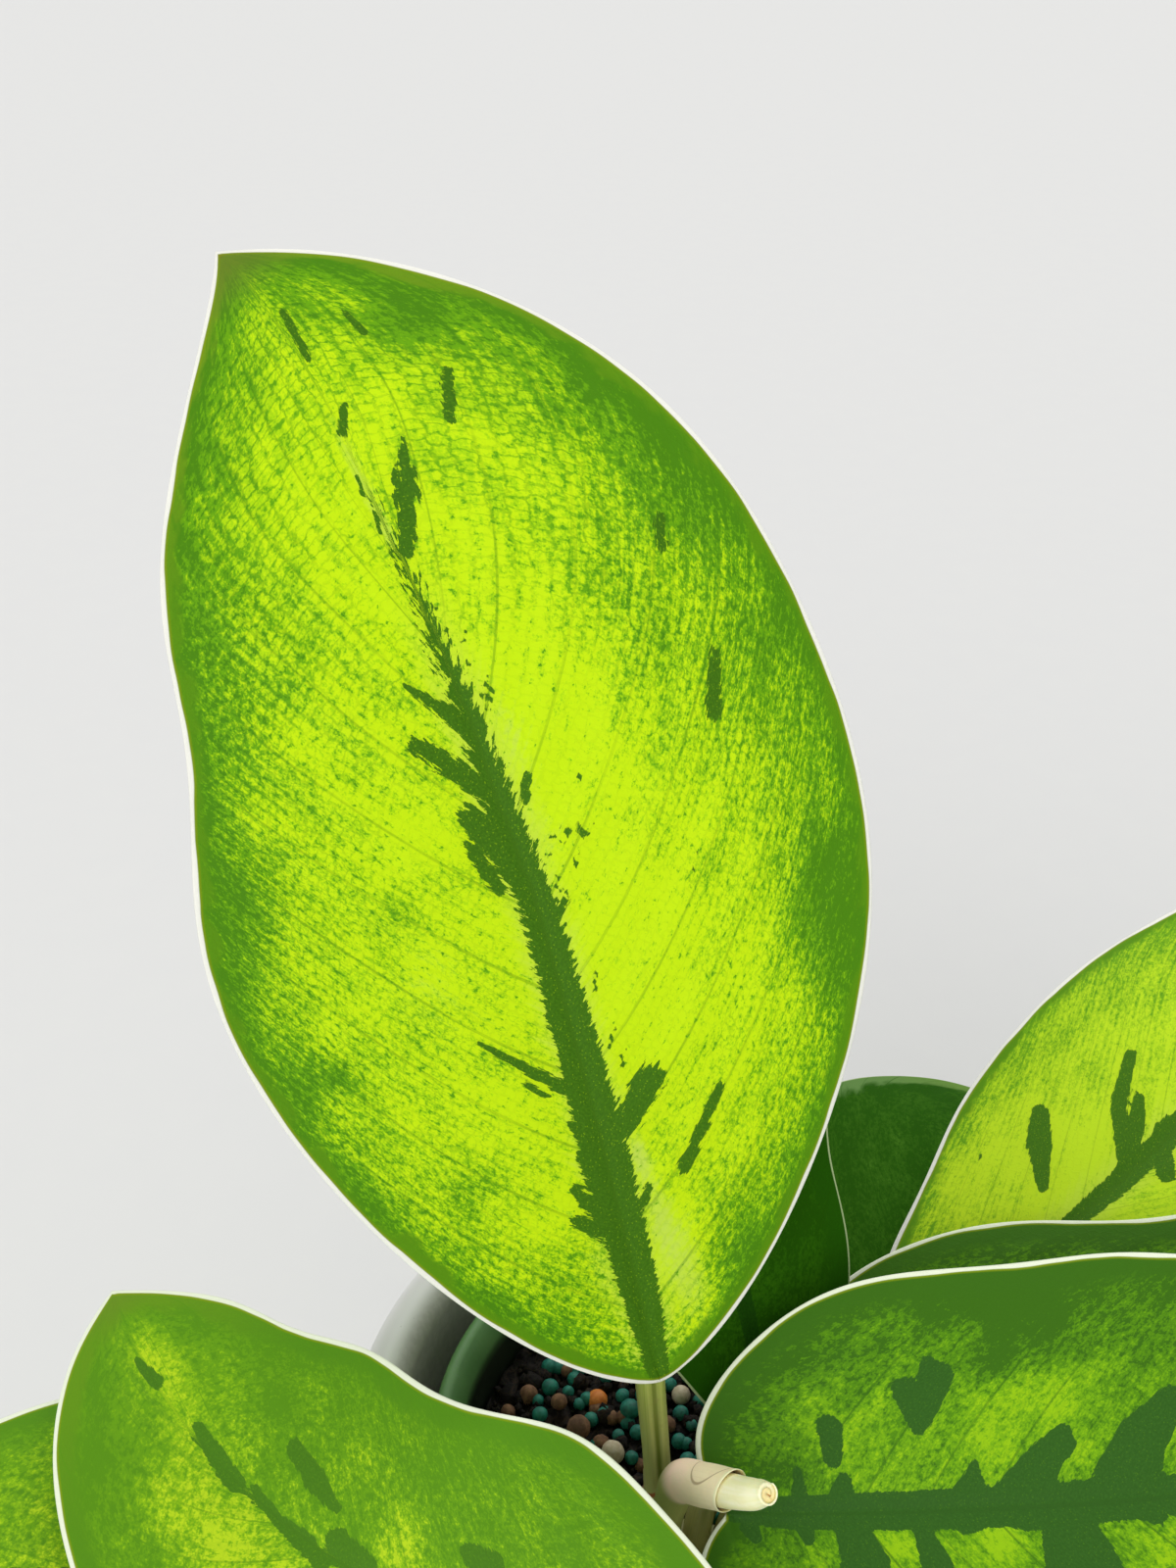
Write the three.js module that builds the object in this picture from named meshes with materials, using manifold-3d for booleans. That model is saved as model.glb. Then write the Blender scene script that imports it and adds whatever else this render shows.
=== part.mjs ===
// Potted homalomena: ten arrow-shaped leaves and one flower bud on a short crown, in a nursery pot
// of bark soil that stands loose inside a round cachepot.
// Millimetres, +Z up, origin at the middle of the cachepot's flat foot, viewer on the -Y side.

import * as THREE from 'three';
import { mergeVertices } from 'three/addons/utils/BufferGeometryUtils.js';
import Module from 'manifold-3d';

const wasm = await Module();
wasm.setup();

// Driving dimensions
const CLEARANCE = 0.3;
const POT_HEIGHT = 115;
const LIP_RADIUS = 61;
const LIP_THICKNESS = 9.6;
const FOOT_RADIUS = 47;
const FOOT_ROUND = 5;
const FLOOR_THICKNESS = 7;
const NURSERY_RIM_RADIUS = 49;
const NURSERY_RIM_BEAD = 1.7;
const NURSERY_HEIGHT = 103.5;
const NURSERY_FOOT_RADIUS = 36;
const NURSERY_WALL = 1.6;
const DRAIN_HOLES = 6;
const DRAIN_HOLE_RADIUS = 4;
const DRAIN_CIRCLE_RADIUS = 22.3;
const SOIL_TOP = 98;
const GRAIN_COUNT = 84;
const CROWN_X = -5.5;
const CROWN_Y = -25;
const CROWN_RADIUS = 14;
const CROWN_TOP = 101;
const CROWN_DEPTH = 20;
const CROWN_SIDES = 28;
const BLADE_THICKNESS = 0.9;
const MARGIN_THICKNESS = 0.6;
const FIRST_STATION = 0.012;
const LAST_STATION = 0.994;
const TIP_CUSP = 0.3;
const TIP_CUSP_REACH = 0.03;
const LOBE_STATION = 0.07;
const STALK_INSET = 0.02;
const SHEATH_REACH = 0.45;
const SLEEVE_END = 0.87;
const SLEEVE_WALL = 0.5;
const SPATHE_START = 0.6;
const TURN_SIDES = 40;

// Middle line of the flower bud, from the crown to the tip of the rolled spathe.
const BUD_PATH = new THREE.CatmullRomCurve3([
  new THREE.Vector3(-9.2, -27.8, CROWN_TOP + CLEARANCE),
  new THREE.Vector3(-9.2, -27.8, 115),
  new THREE.Vector3(-8.5, -27, 127),
  new THREE.Vector3(-6.9, -27.6, 134.2),
  new THREE.Vector3(-3.6, -31.3, 138.8),
  new THREE.Vector3(2, -38, 146.8),
  new THREE.Vector3(4.6, -41.1, 151.3),
], false, 'centripetal');

// One row for each leaf. base is where the blade starts, seat is where its stalk stands on the crown.
// heading and rise give the way the midrib sets off, roll turns the blade about it (left side up is
// positive), sweep and hook bend it sideways, droop and nod bend it down (degrees over its length).
// dents are [side, station, spread, depth] of shallow bays in the margin, side 1 being the left one.
const LEAVES = [
  {
    name: 'leaf_hero', base: [-10.5, -21.5, 151], seat: [-9.5, -21], stalk: 2.3, sheath: 2.9,
    heading: 124.5, rise: 68.5, roll: -17, sweep: 2, hook: 29, droop: 22.5, nod: 17.5,
    length: 197, width: 105, cup: 5, lobe: 2.2, basePower: 0.86, tipPower: 0.95, skew: -0.04,
    wave: 0.8, waves: 2.4, dents: [[1, 0.6, 0.13, 0.116], [-1, 0.74, 0.13, -0.043], [-1, 0.96, 0.08, 0.061]],
  },
  {
    name: 'leaf_front_left', base: [-7.5, -61, 138.5], seat: [-6.5, -35.5], stalk: 1.9, sheath: 2.4,
    heading: 175, rise: -1, roll: -26, sweep: -55, hook: 0, droop: 19, nod: 4,
    length: 124, width: 61.5, cup: 9.5, lobe: 11.8, basePower: 0.72, tipPower: 0.8, skew: 0,
    wave: 0.6, waves: 2.2,
    dents: [[-1, 0.2, 0.12, -0.19], [-1, 0.45, 0.14, 0.107], [-1, 0.72, 0.12, 0.12], [1, 0.7, 0.15, 0.033]],
  },
  {
    name: 'leaf_far_left', base: [-21.5, -25.5, 119], seat: [-15, -26], stalk: 1.9, sheath: 2.4,
    heading: 193, rise: 6, roll: -5, sweep: -13.5, hook: 0, droop: 4.5, nod: 4,
    length: 136, width: 66, cup: 7.7, lobe: 6.2, basePower: 0.72, tipPower: 0.8, skew: 0,
    wave: 1, waves: 2.6, dents: [],
  },
  {
    name: 'leaf_right', base: [0.5, -30, 129.5], seat: [0.5, -28.5], stalk: 2.1, sheath: 2.5,
    heading: -5, rise: 7, roll: 28.5, sweep: 12, hook: 0, droop: 12, nod: 4,
    length: 153.5, width: 95, cup: 8.2, lobe: 11.6, basePower: 0.72, tipPower: 0.8, skew: 0,
    wave: 0.5, waves: 2.2,
    dents: [[1, 0.13, 0.1, -0.071], [1, 0.36, 0.15, 0.16], [1, 0.58, 0.16, 0.219], [-1, 0.12, 0.1, -0.05]],
  },
  {
    name: 'leaf_right_under', base: [20, 2, 124], seat: [2.5, -17.5], stalk: 2, sheath: 2.4,
    heading: -13.5, rise: 8.5, roll: 19.5, sweep: -11, hook: 0, droop: 12.5, nod: 4,
    length: 151, width: 80, cup: 8.4, lobe: 7.7, basePower: 0.72, tipPower: 0.8, skew: 0,
    wave: 0.6, waves: 2.5, dents: [[1, 0.35, 0.13, 0.116], [1, 0.55, 0.15, -0.089]],
  },
  {
    name: 'leaf_rear_right', base: [36.5, 8, 120.5], seat: [2.5, -23], stalk: 2, sheath: 2.4,
    heading: 28.5, rise: 16, roll: 5.5, sweep: 17.5, hook: 0, droop: -3.5, nod: 4,
    length: 164, width: 76, cup: 6, lobe: 4.8, basePower: 0.72, tipPower: 0.8, skew: 0,
    wave: 0.6, waves: 2.4, dents: [[1, 0.15, 0.1, 0.1], [1, 0.4, 0.14, 0.022]],
  },
  {
    name: 'leaf_back', base: [25, 10, 111.5], seat: [-2.5, -15], stalk: 1.9, sheath: 2.3,
    heading: 55.5, rise: 23, roll: -1, sweep: -5.5, hook: 0, droop: 57, nod: 4,
    length: 104, width: 71.5, cup: 7.9, lobe: 6, basePower: 0.72, tipPower: 0.8, skew: 0,
    wave: 0.8, waves: 2.2, dents: [],
  },
  {
    name: 'leaf_behind_hero', base: [7.5, -6, 132], seat: [-3.5, -20.5], stalk: 1.9, sheath: 2.3,
    heading: 107, rise: 54, roll: 5, sweep: 18.5, hook: 0, droop: 27, nod: 4,
    length: 119, width: 65, cup: 8, lobe: 10.5, basePower: 0.72, tipPower: 0.8, skew: 0,
    wave: 0.6, waves: 2.2, dents: [[1, 0.1, 0.1, 0.2], [-1, 0.3, 0.12, 0.22]],
  },
  {
    name: 'leaf_front', base: [0, -62.5, 123], seat: [-0.8, -34], stalk: 1.9, sheath: 2.4,
    heading: -87, rise: 20, roll: 0, sweep: 0, hook: 0, droop: 28, nod: 4,
    length: 113, width: 65, cup: 7.9, lobe: 5.3, basePower: 0.72, tipPower: 0.8, skew: 0,
    wave: 1.2, waves: 2.6, dents: [],
  },
  {
    name: 'leaf_back_left', base: [-10.5, 2, 129], seat: [-9.5, -14.5], stalk: 1.9, sheath: 2.4,
    heading: 120, rise: 50, roll: 0, sweep: 0, hook: 0, droop: 24, nod: 4,
    length: 122, width: 62, cup: 8, lobe: 5.9, basePower: 0.72, tipPower: 0.8, skew: 0,
    wave: 1, waves: 2.4, dents: [],
  },
];

const radians = THREE.MathUtils.degToRad;
const fall = (distance, spread) => Math.exp(-((distance / spread) ** 2));

// Repeatable random numbers, the same on every build.
function seededRandom(seed) {
  let state = seed >>> 0;
  return () => {
    state = (Math.imul(state, 1664525) + 1013904223) >>> 0;
    return state / 4294967296;
  };
}

function finish(color, roughness, metalness = 0) {
  return new THREE.MeshStandardMaterial({ color, roughness, metalness });
}

function toSolid(geometry) {
  const plain = geometry.index ? geometry.clone() : geometry;
  plain.deleteAttribute('normal');
  plain.deleteAttribute('uv');
  const merged = mergeVertices(plain, 1e-4);
  return new wasm.Manifold(new wasm.Mesh({
    numProp: 3,
    vertProperties: new Float32Array(merged.attributes.position.array),
    triVerts: new Uint32Array(merged.index.array),
  }));
}

function toGeometry(solid) {
  const mesh = solid.getMesh();
  const geometry = new THREE.BufferGeometry();
  geometry.setAttribute('position', new THREE.BufferAttribute(new Float32Array(mesh.vertProperties), 3));
  geometry.setIndex(new THREE.BufferAttribute(new Uint32Array(mesh.triVerts), 1));
  geometry.computeVertexNormals();
  return geometry;
}

function part(name, geometry, material) {
  const mesh = new THREE.Mesh(geometry, material);
  mesh.name = name;
  return mesh;
}

// Turns a closed profile of [radius, height] points about the Z axis.
function turned(profile, sides = TURN_SIDES) {
  const points = profile.map(([radius, height]) => new THREE.Vector2(radius, height));
  points.push(points[0].clone());
  const geometry = new THREE.LatheGeometry(points, sides);
  geometry.rotateX(Math.PI / 2);
  return geometry;
}

// Points of an arc about a centre, from one angle to another (degrees, counter-clockwise positive).
function arc(centreRadius, centreHeight, size, from, to, steps) {
  return Array.from({ length: steps + 1 }, (_, i) => {
    const angle = radians(from + ((to - from) * i) / steps);
    return [centreRadius + size * Math.cos(angle), centreHeight + size * Math.sin(angle)];
  });
}

function cachepot() {
  const half = LIP_THICKNESS / 2;
  const profile = [
    [0, 0],
    ...arc(FOOT_RADIUS - FOOT_ROUND, FOOT_ROUND, FOOT_ROUND, -90, 0, 3),
    ...arc(LIP_RADIUS, POT_HEIGHT - half, half, 0, 180, 8),
    ...arc(FOOT_RADIUS - LIP_THICKNESS, FLOOR_THICKNESS + FOOT_ROUND, FOOT_ROUND, 0, -90, 3),
    [0, FLOOR_THICKNESS],
  ];
  return part('cachepot', toGeometry(toSolid(turned(profile))), finish(0xe9e8e4, 0.45));
}

function nurseryPot() {
  const foot = FLOOR_THICKNESS + CLEARANCE;
  const top = foot + NURSERY_HEIGHT;
  const bead = NURSERY_RIM_BEAD;
  const profile = [
    [0, foot],
    [NURSERY_FOOT_RADIUS, foot],
    [NURSERY_RIM_RADIUS - bead, top - 2 * bead],
    ...arc(NURSERY_RIM_RADIUS, top - bead, bead, -110, 130, 6),
    [NURSERY_RIM_RADIUS - bead - NURSERY_WALL, top - 2.4 * bead],
    [NURSERY_FOOT_RADIUS - NURSERY_WALL, foot + NURSERY_WALL],
    [0, foot + NURSERY_WALL],
  ];
  let solid = toSolid(turned(profile));
  for (let i = 0; i < DRAIN_HOLES; i += 1) {
    const angle = (2 * Math.PI * i) / DRAIN_HOLES;
    const hole = new THREE.CylinderGeometry(DRAIN_HOLE_RADIUS, DRAIN_HOLE_RADIUS, 6, 14);
    hole.rotateX(Math.PI / 2);
    hole.translate(DRAIN_CIRCLE_RADIUS * Math.cos(angle), DRAIN_CIRCLE_RADIUS * Math.sin(angle), foot);
    solid = solid.subtract(toSolid(hole));
  }
  return part('nursery_pot', toGeometry(solid), finish(0x2f5a3c, 0.55));
}

// Height of the bark soil's surface: three crossed ripples, flat where the crown stands.
function soilHeight(x, y) {
  const ripples = 0.7 * Math.sin(0.31 * x + 0.8) * Math.cos(0.27 * y)
    + 0.5 * Math.sin(0.71 * y - 0.4 * x) + 0.35 * Math.cos(0.93 * x + 0.55 * y);
  const calm = 1 - fall(Math.hypot(x - CROWN_X, y - CROWN_Y), CROWN_RADIUS + 3);
  return SOIL_TOP + ripples * calm;
}

function soil() {
  const foot = FLOOR_THICKNESS + CLEARANCE + NURSERY_WALL + CLEARANCE;
  const slope = (NURSERY_RIM_RADIUS - NURSERY_FOOT_RADIUS) / NURSERY_HEIGHT;
  const slack = 3 * CLEARANCE;
  const wallAt = (z) => NURSERY_FOOT_RADIUS + slope * (z - foot) - NURSERY_WALL - slack;
  const edge = wallAt(SOIL_TOP) - 2 * CLEARANCE;
  const rings = 7;
  const ringAt = (i) => edge * (1 - (i + 0.5) / (rings + 0.5));
  const topRings = Array.from({ length: rings }, (_, i) => [ringAt(i), SOIL_TOP]);
  const body = turned([[0, foot], [wallAt(foot), foot], [edge, SOIL_TOP - 3], [edge, SOIL_TOP],
    ...topRings, [0, SOIL_TOP]]);
  const position = body.attributes.position;
  for (let i = 0; i < position.count; i += 1) {
    if (position.getZ(i) > SOIL_TOP - 1) {
      position.setZ(i, soilHeight(position.getX(i), position.getY(i)));
    }
  }
  let solid = toSolid(body);
  solid = solid.add(wasm.Manifold.union(soilGrains(edge - 3)));
  const depth = 60;
  const width = CROWN_RADIUS + CLEARANCE;
  const well = new THREE.CylinderGeometry(width, width, depth, CROWN_SIDES);
  well.rotateX(Math.PI / 2);
  well.translate(CROWN_X, CROWN_Y, CROWN_TOP - CROWN_DEPTH - CLEARANCE + depth / 2);
  solid = solid.subtract(toSolid(well));
  return part('soil', toGeometry(solid), finish(0x2a211b, 0.95));
}

// Round feed and clay grains half sunk in the soil, scattered evenly by a golden-angle spiral.
function soilGrains(reach) {
  const random = seededRandom(11);
  const golden = radians(137.508);
  const grains = [];
  for (let i = 0; i < GRAIN_COUNT; i += 1) {
    const radius = reach * Math.sqrt((i + 0.5) / GRAIN_COUNT);
    const x = radius * Math.cos(i * golden) + 1.5 * (random() - 0.5);
    const y = radius * Math.sin(i * golden) + 1.5 * (random() - 0.5);
    const size = 1.4 + 1.1 * random() ** 2;
    if (Math.hypot(x - CROWN_X, y - CROWN_Y) > CROWN_RADIUS + size + 1) {
      const grain = new THREE.IcosahedronGeometry(size, 0);
      grain.rotateZ(6 * random());
      grain.translate(x, y, soilHeight(x, y) - 0.1 * size);
      grains.push(toSolid(grain));
    }
  }
  return grains;
}

// The short fleshy stem that every stalk stands on, sunk in its well in the soil.
function crown() {
  const foot = CROWN_TOP - CROWN_DEPTH;
  const profile = [
    [0, foot],
    [CROWN_RADIUS * 0.7, foot],
    [CROWN_RADIUS, foot + 5],
    [CROWN_RADIUS, CROWN_TOP - 1.2],
    [CROWN_RADIUS - 1.2, CROWN_TOP],
    [0, CROWN_TOP],
  ];
  const geometry = turned(profile, CROWN_SIDES);
  geometry.translate(CROWN_X, CROWN_Y, 0);
  return part('crown', toGeometry(toSolid(geometry)), finish(0x8f9b52, 0.6));
}

// Half width of a blade at station s, as a share of its greatest half width: a power law from each
// end, with a small cusp at the tip.
function outline(leaf, s) {
  const a = leaf.basePower;
  const b = leaf.tipPower;
  const peak = a / (a + b);
  const shape = (s ** a * (1 - s) ** b) / (peak ** a * (1 - peak) ** b);
  return shape * (1 - TIP_CUSP * Math.exp(-(1 - s) / TIP_CUSP_REACH));
}

function leafAxes(leaf) {
  const heading = radians(leaf.heading);
  const rise = radians(leaf.rise);
  const roll = radians(leaf.roll);
  const along = new THREE.Vector3(
    Math.cos(heading) * Math.cos(rise), Math.sin(heading) * Math.cos(rise), Math.sin(rise));
  const left = new THREE.Vector3(-Math.sin(heading), Math.cos(heading), 0);
  const up = along.clone().cross(left);
  const side = left.multiplyScalar(Math.cos(roll)).addScaledVector(up, Math.sin(roll));
  return { along, side, up: along.clone().cross(side) };
}

// Direction, side and normal of the midrib at station s.
function midribFrame(leaf, axes, s) {
  const sideways = radians(leaf.sweep * s + leaf.hook * s ** 4);
  const down = radians(leaf.droop * s + leaf.nod * s ** 4);
  const direction = new THREE.Vector3()
    .addScaledVector(axes.along, Math.cos(sideways) * Math.cos(down))
    .addScaledVector(axes.side, Math.sin(sideways) * Math.cos(down))
    .addScaledVector(axes.up, -Math.sin(down));
  const side = new THREE.Vector3()
    .addScaledVector(axes.along, -Math.sin(sideways))
    .addScaledVector(axes.side, Math.cos(sideways));
  return { direction, side, normal: direction.clone().cross(side) };
}

// Places along the midrib: steps of the direction added up from the base.
function midribPath(leaf, axes, steps = 120) {
  const points = [new THREE.Vector3(...leaf.base)];
  for (let i = 0; i < steps; i += 1) {
    const { direction } = midribFrame(leaf, axes, (i + 0.5) / steps);
    points.push(points[i].clone().addScaledVector(direction, leaf.length / steps));
  }
  return (s) => {
    const at = Math.min(s * steps, steps - 1e-9);
    const i = Math.floor(at);
    return points[i].clone().lerp(points[i + 1], at - i);
  };
}

// A point of a blade's middle surface: s runs from base to tip, t from the right margin (-1) to the
// left (1). The halves rise to the sides as a shallow gutter, and the base corners reach back.
function bladePoint(leaf, axes, path, s, t) {
  const frame = midribFrame(leaf, axes, s);
  let half = (leaf.width / 2) * outline(leaf, s) * (1 + leaf.skew * Math.sign(t));
  for (const [side, at, spread, depth] of leaf.dents) {
    if (side * t > 0) {
      half *= 1 - depth * fall(s - at, spread);
    }
  }
  const gutter = Math.tan(radians(leaf.cup)) * (Math.sqrt(t * t + 0.01) - 0.1 - 0.5 * t * t);
  const ripple = leaf.wave * t * t * Math.sin(Math.PI * s)
    * Math.sin(2 * Math.PI * (leaf.waves * s + (t > 0 ? 0.1 : 0.45)));
  const back = leaf.lobe * (s / LOBE_STATION) ** leaf.basePower
    * Math.exp(leaf.basePower * (1 - s / LOBE_STATION)) * t * t;
  return {
    normal: frame.normal,
    point: path(s)
      .addScaledVector(frame.side, half * t)
      .addScaledVector(frame.normal, half * gutter + ripple)
      .addScaledVector(frame.direction, -back),
  };
}

function blade(leaf, axes, path) {
  const rows = 16;
  const across = [-1, -0.8, -0.55, -0.3, -0.1, 0, 0.1, 0.3, 0.55, 0.8, 1];
  const columns = across.length;
  const vertices = [];
  for (const face of [1, -1]) {
    for (let i = 0; i < rows; i += 1) {
      const turn = 0.5 - 0.5 * Math.cos((Math.PI * i) / (rows - 1));
      const s = FIRST_STATION + (LAST_STATION - FIRST_STATION) * turn;
      for (const t of across) {
        const { point, normal } = bladePoint(leaf, axes, path, s, t);
        const thickness = MARGIN_THICKNESS + (BLADE_THICKNESS - MARGIN_THICKNESS) * fall(t, 0.5);
        const offset = point.addScaledVector(normal, (face * thickness) / 2);
        vertices.push(offset.x, offset.y, offset.z);
      }
    }
  }
  const under = rows * columns;
  const triangles = [];
  const quad = (a, b, c, d) => triangles.push(a, b, c, a, c, d);
  for (let i = 0; i < rows - 1; i += 1) {
    for (let j = 0; j < columns - 1; j += 1) {
      const a = i * columns + j;
      const b = a + columns;
      quad(a, b, b + 1, a + 1);
      triangles.push(under + a, under + b + 1, under + b, under + a, under + a + 1, under + b + 1);
    }
    const right = i * columns;
    const left = right + columns - 1;
    quad(right, under + right, under + right + columns, right + columns);
    quad(left, left + columns, under + left + columns, under + left);
  }
  const last = (rows - 1) * columns;
  for (let j = 0; j < columns - 1; j += 1) {
    quad(j, j + 1, under + j + 1, under + j);
    quad(last + j, under + last + j, under + last + j + 1, last + j + 1);
  }
  return closedGeometry(vertices, triangles);
}

function closedGeometry(vertices, triangles) {
  const geometry = new THREE.BufferGeometry();
  geometry.setAttribute('position', new THREE.Float32BufferAttribute(vertices, 3));
  geometry.setIndex(triangles);
  geometry.computeVertexNormals();
  return geometry;
}

// A closed tapering tube: rings of the given radius along a curve, with a flat disc at each end.
function taperedTube(curve, radiusAt, rings, sides) {
  const frames = curve.computeFrenetFrames(rings - 1, false);
  const vertices = [];
  for (let i = 0; i < rings; i += 1) {
    const u = i / (rings - 1);
    const centre = curve.getPointAt(u);
    for (let k = 0; k < sides; k += 1) {
      const angle = (2 * Math.PI * k) / sides;
      const p = centre.clone()
        .addScaledVector(frames.normals[i], radiusAt(u) * Math.cos(angle))
        .addScaledVector(frames.binormals[i], radiusAt(u) * Math.sin(angle));
      vertices.push(p.x, p.y, p.z);
    }
  }
  const start = curve.getPointAt(0);
  const end = curve.getPointAt(1);
  vertices.push(start.x, start.y, start.z, end.x, end.y, end.z);
  const foot = rings * sides;
  const triangles = [];
  for (let i = 0; i < rings - 1; i += 1) {
    for (let k = 0; k < sides; k += 1) {
      const a = i * sides + k;
      const b = i * sides + ((k + 1) % sides);
      triangles.push(a, b, b + sides, a, b + sides, a + sides);
    }
  }
  const last = (rings - 1) * sides;
  for (let k = 0; k < sides; k += 1) {
    const next = (k + 1) % sides;
    triangles.push(foot, next, k, foot + 1, last + k, last + next);
  }
  return closedGeometry(vertices, triangles);
}

// The stalk rises from the crown and bends over to end just under the blade's base.
function stalkCurve(leaf, axes, path) {
  const start = new THREE.Vector3(leaf.seat[0], leaf.seat[1], CROWN_TOP + CLEARANCE);
  const { point } = bladePoint(leaf, axes, path, STALK_INSET, 0);
  const arriving = point.clone().sub(start).normalize();
  const slant = Math.sqrt(Math.max(0, 1 - arriving.dot(axes.up) ** 2));
  const drop = BLADE_THICKNESS / 2 + CLEARANCE + 1.08 * leaf.stalk * slant;
  const end = point.addScaledVector(axes.up, -drop);
  const reach = end.distanceTo(start);
  const bend = end.clone().addScaledVector(arriving, -0.3 * reach);
  const lift = start.clone().add(new THREE.Vector3(0, 0, 0.42 * reach));
  return new THREE.CubicBezierCurve3(start, lift, bend, end);
}

function stalk(leaf, axes, path) {
  const curve = stalkCurve(leaf, axes, path);
  const radiusAt = (u) => leaf.stalk + (leaf.sheath - leaf.stalk)
    * THREE.MathUtils.smoothstep(SHEATH_REACH - u, 0, SHEATH_REACH);
  return taperedTube(curve, radiusAt, 12, 10);
}

function leafParts(leaf) {
  const axes = leafAxes(leaf);
  const path = midribPath(leaf, axes);
  const bright = ['leaf_hero', 'leaf_rear_right'].includes(leaf.name);
  return [
    part(`${leaf.name}_blade`, blade(leaf, axes, path), finish(bright ? 0x9ccc1c : 0x3f7a1e, 0.4)),
    part(`${leaf.name}_stalk`, stalk(leaf, axes, path), finish(0x9aa860, 0.5)),
  ];
}

// The flower bud leans out of the crown in front of the hero leaf's stalk: a stalk that widens into
// a sleeve, open at its slanting mouth, with the rolled spathe standing out of it.
function budRadius(u) {
  const swell = THREE.MathUtils.smoothstep(u, 0.35, 0.6);
  const taper = THREE.MathUtils.smoothstep(u, 0.7, 1.0);
  return 2.4 + 0.95 * swell - 0.6 * taper;
}

function budStretch(from, to) {
  const points = Array.from({ length: 15 }, (_, i) => BUD_PATH.getPointAt(from + ((to - from) * i) / 14));
  return new THREE.CatmullRomCurve3(points, false, 'centripetal');
}

// Block that cuts the sleeve's mouth off at a slant.
function mouthCutter() {
  const size = 30;
  const setBack = 2;
  const slant = new THREE.Vector3(0.3, -0.5, -0.8);
  const facing = BUD_PATH.getTangentAt(SLEEVE_END).add(slant).normalize();
  const mouth = BUD_PATH.getPointAt(SLEEVE_END).addScaledVector(facing, -setBack);
  const cutter = new THREE.BoxGeometry(size, size, size);
  cutter.translate(0, 0, size / 2);
  cutter.applyQuaternion(new THREE.Quaternion().setFromUnitVectors(new THREE.Vector3(0, 0, 1), facing));
  cutter.translate(mouth.x, mouth.y, mouth.z);
  return toSolid(cutter);
}

function flowerBud() {
  const boreRadius = (u) => budRadius(SPATHE_START + (1 - SPATHE_START) * u) - SLEEVE_WALL;
  const spatheRadius = (u) => boreRadius(u) - CLEARANCE;
  const spathe = toSolid(taperedTube(budStretch(SPATHE_START, 1), spatheRadius, 12, 14));
  const bore = toSolid(taperedTube(budStretch(SPATHE_START - 0.006, 1), boreRadius, 12, 14));
  const sleeve = toSolid(taperedTube(budStretch(0, SLEEVE_END), (u) => budRadius(SLEEVE_END * u), 16, 14))
    .subtract(bore)
    .subtract(mouthCutter());
  return [
    part('flower_sleeve', toGeometry(sleeve), finish(0xd9b79a, 0.5)),
    part('flower_spathe', toGeometry(spathe), finish(0xe6dfae, 0.5)),
  ];
}

const plant = new THREE.Group();
plant.add(cachepot(), nurseryPot(), soil(), crown(), ...flowerBud());
for (const leaf of LEAVES) {
  plant.add(...leafParts(leaf));
}

export default plant;
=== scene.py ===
"""Looks of the potted homalomena: variegated blades, grooved stalks, a flower bud, bark soil and pots.

Lengths in the tables are millimetres, in the frame of the CAD model, and MM turns them to metres.
"""

import math

import bmesh
import bpy
import numpy as np
from mathutils import Matrix, Vector


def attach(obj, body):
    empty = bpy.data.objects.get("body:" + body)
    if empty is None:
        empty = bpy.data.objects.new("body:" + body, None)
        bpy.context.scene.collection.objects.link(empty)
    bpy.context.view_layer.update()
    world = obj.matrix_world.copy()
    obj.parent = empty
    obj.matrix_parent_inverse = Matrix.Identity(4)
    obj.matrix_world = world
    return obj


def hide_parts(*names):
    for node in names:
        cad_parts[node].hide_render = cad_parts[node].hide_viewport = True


MM = 0.001

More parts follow.
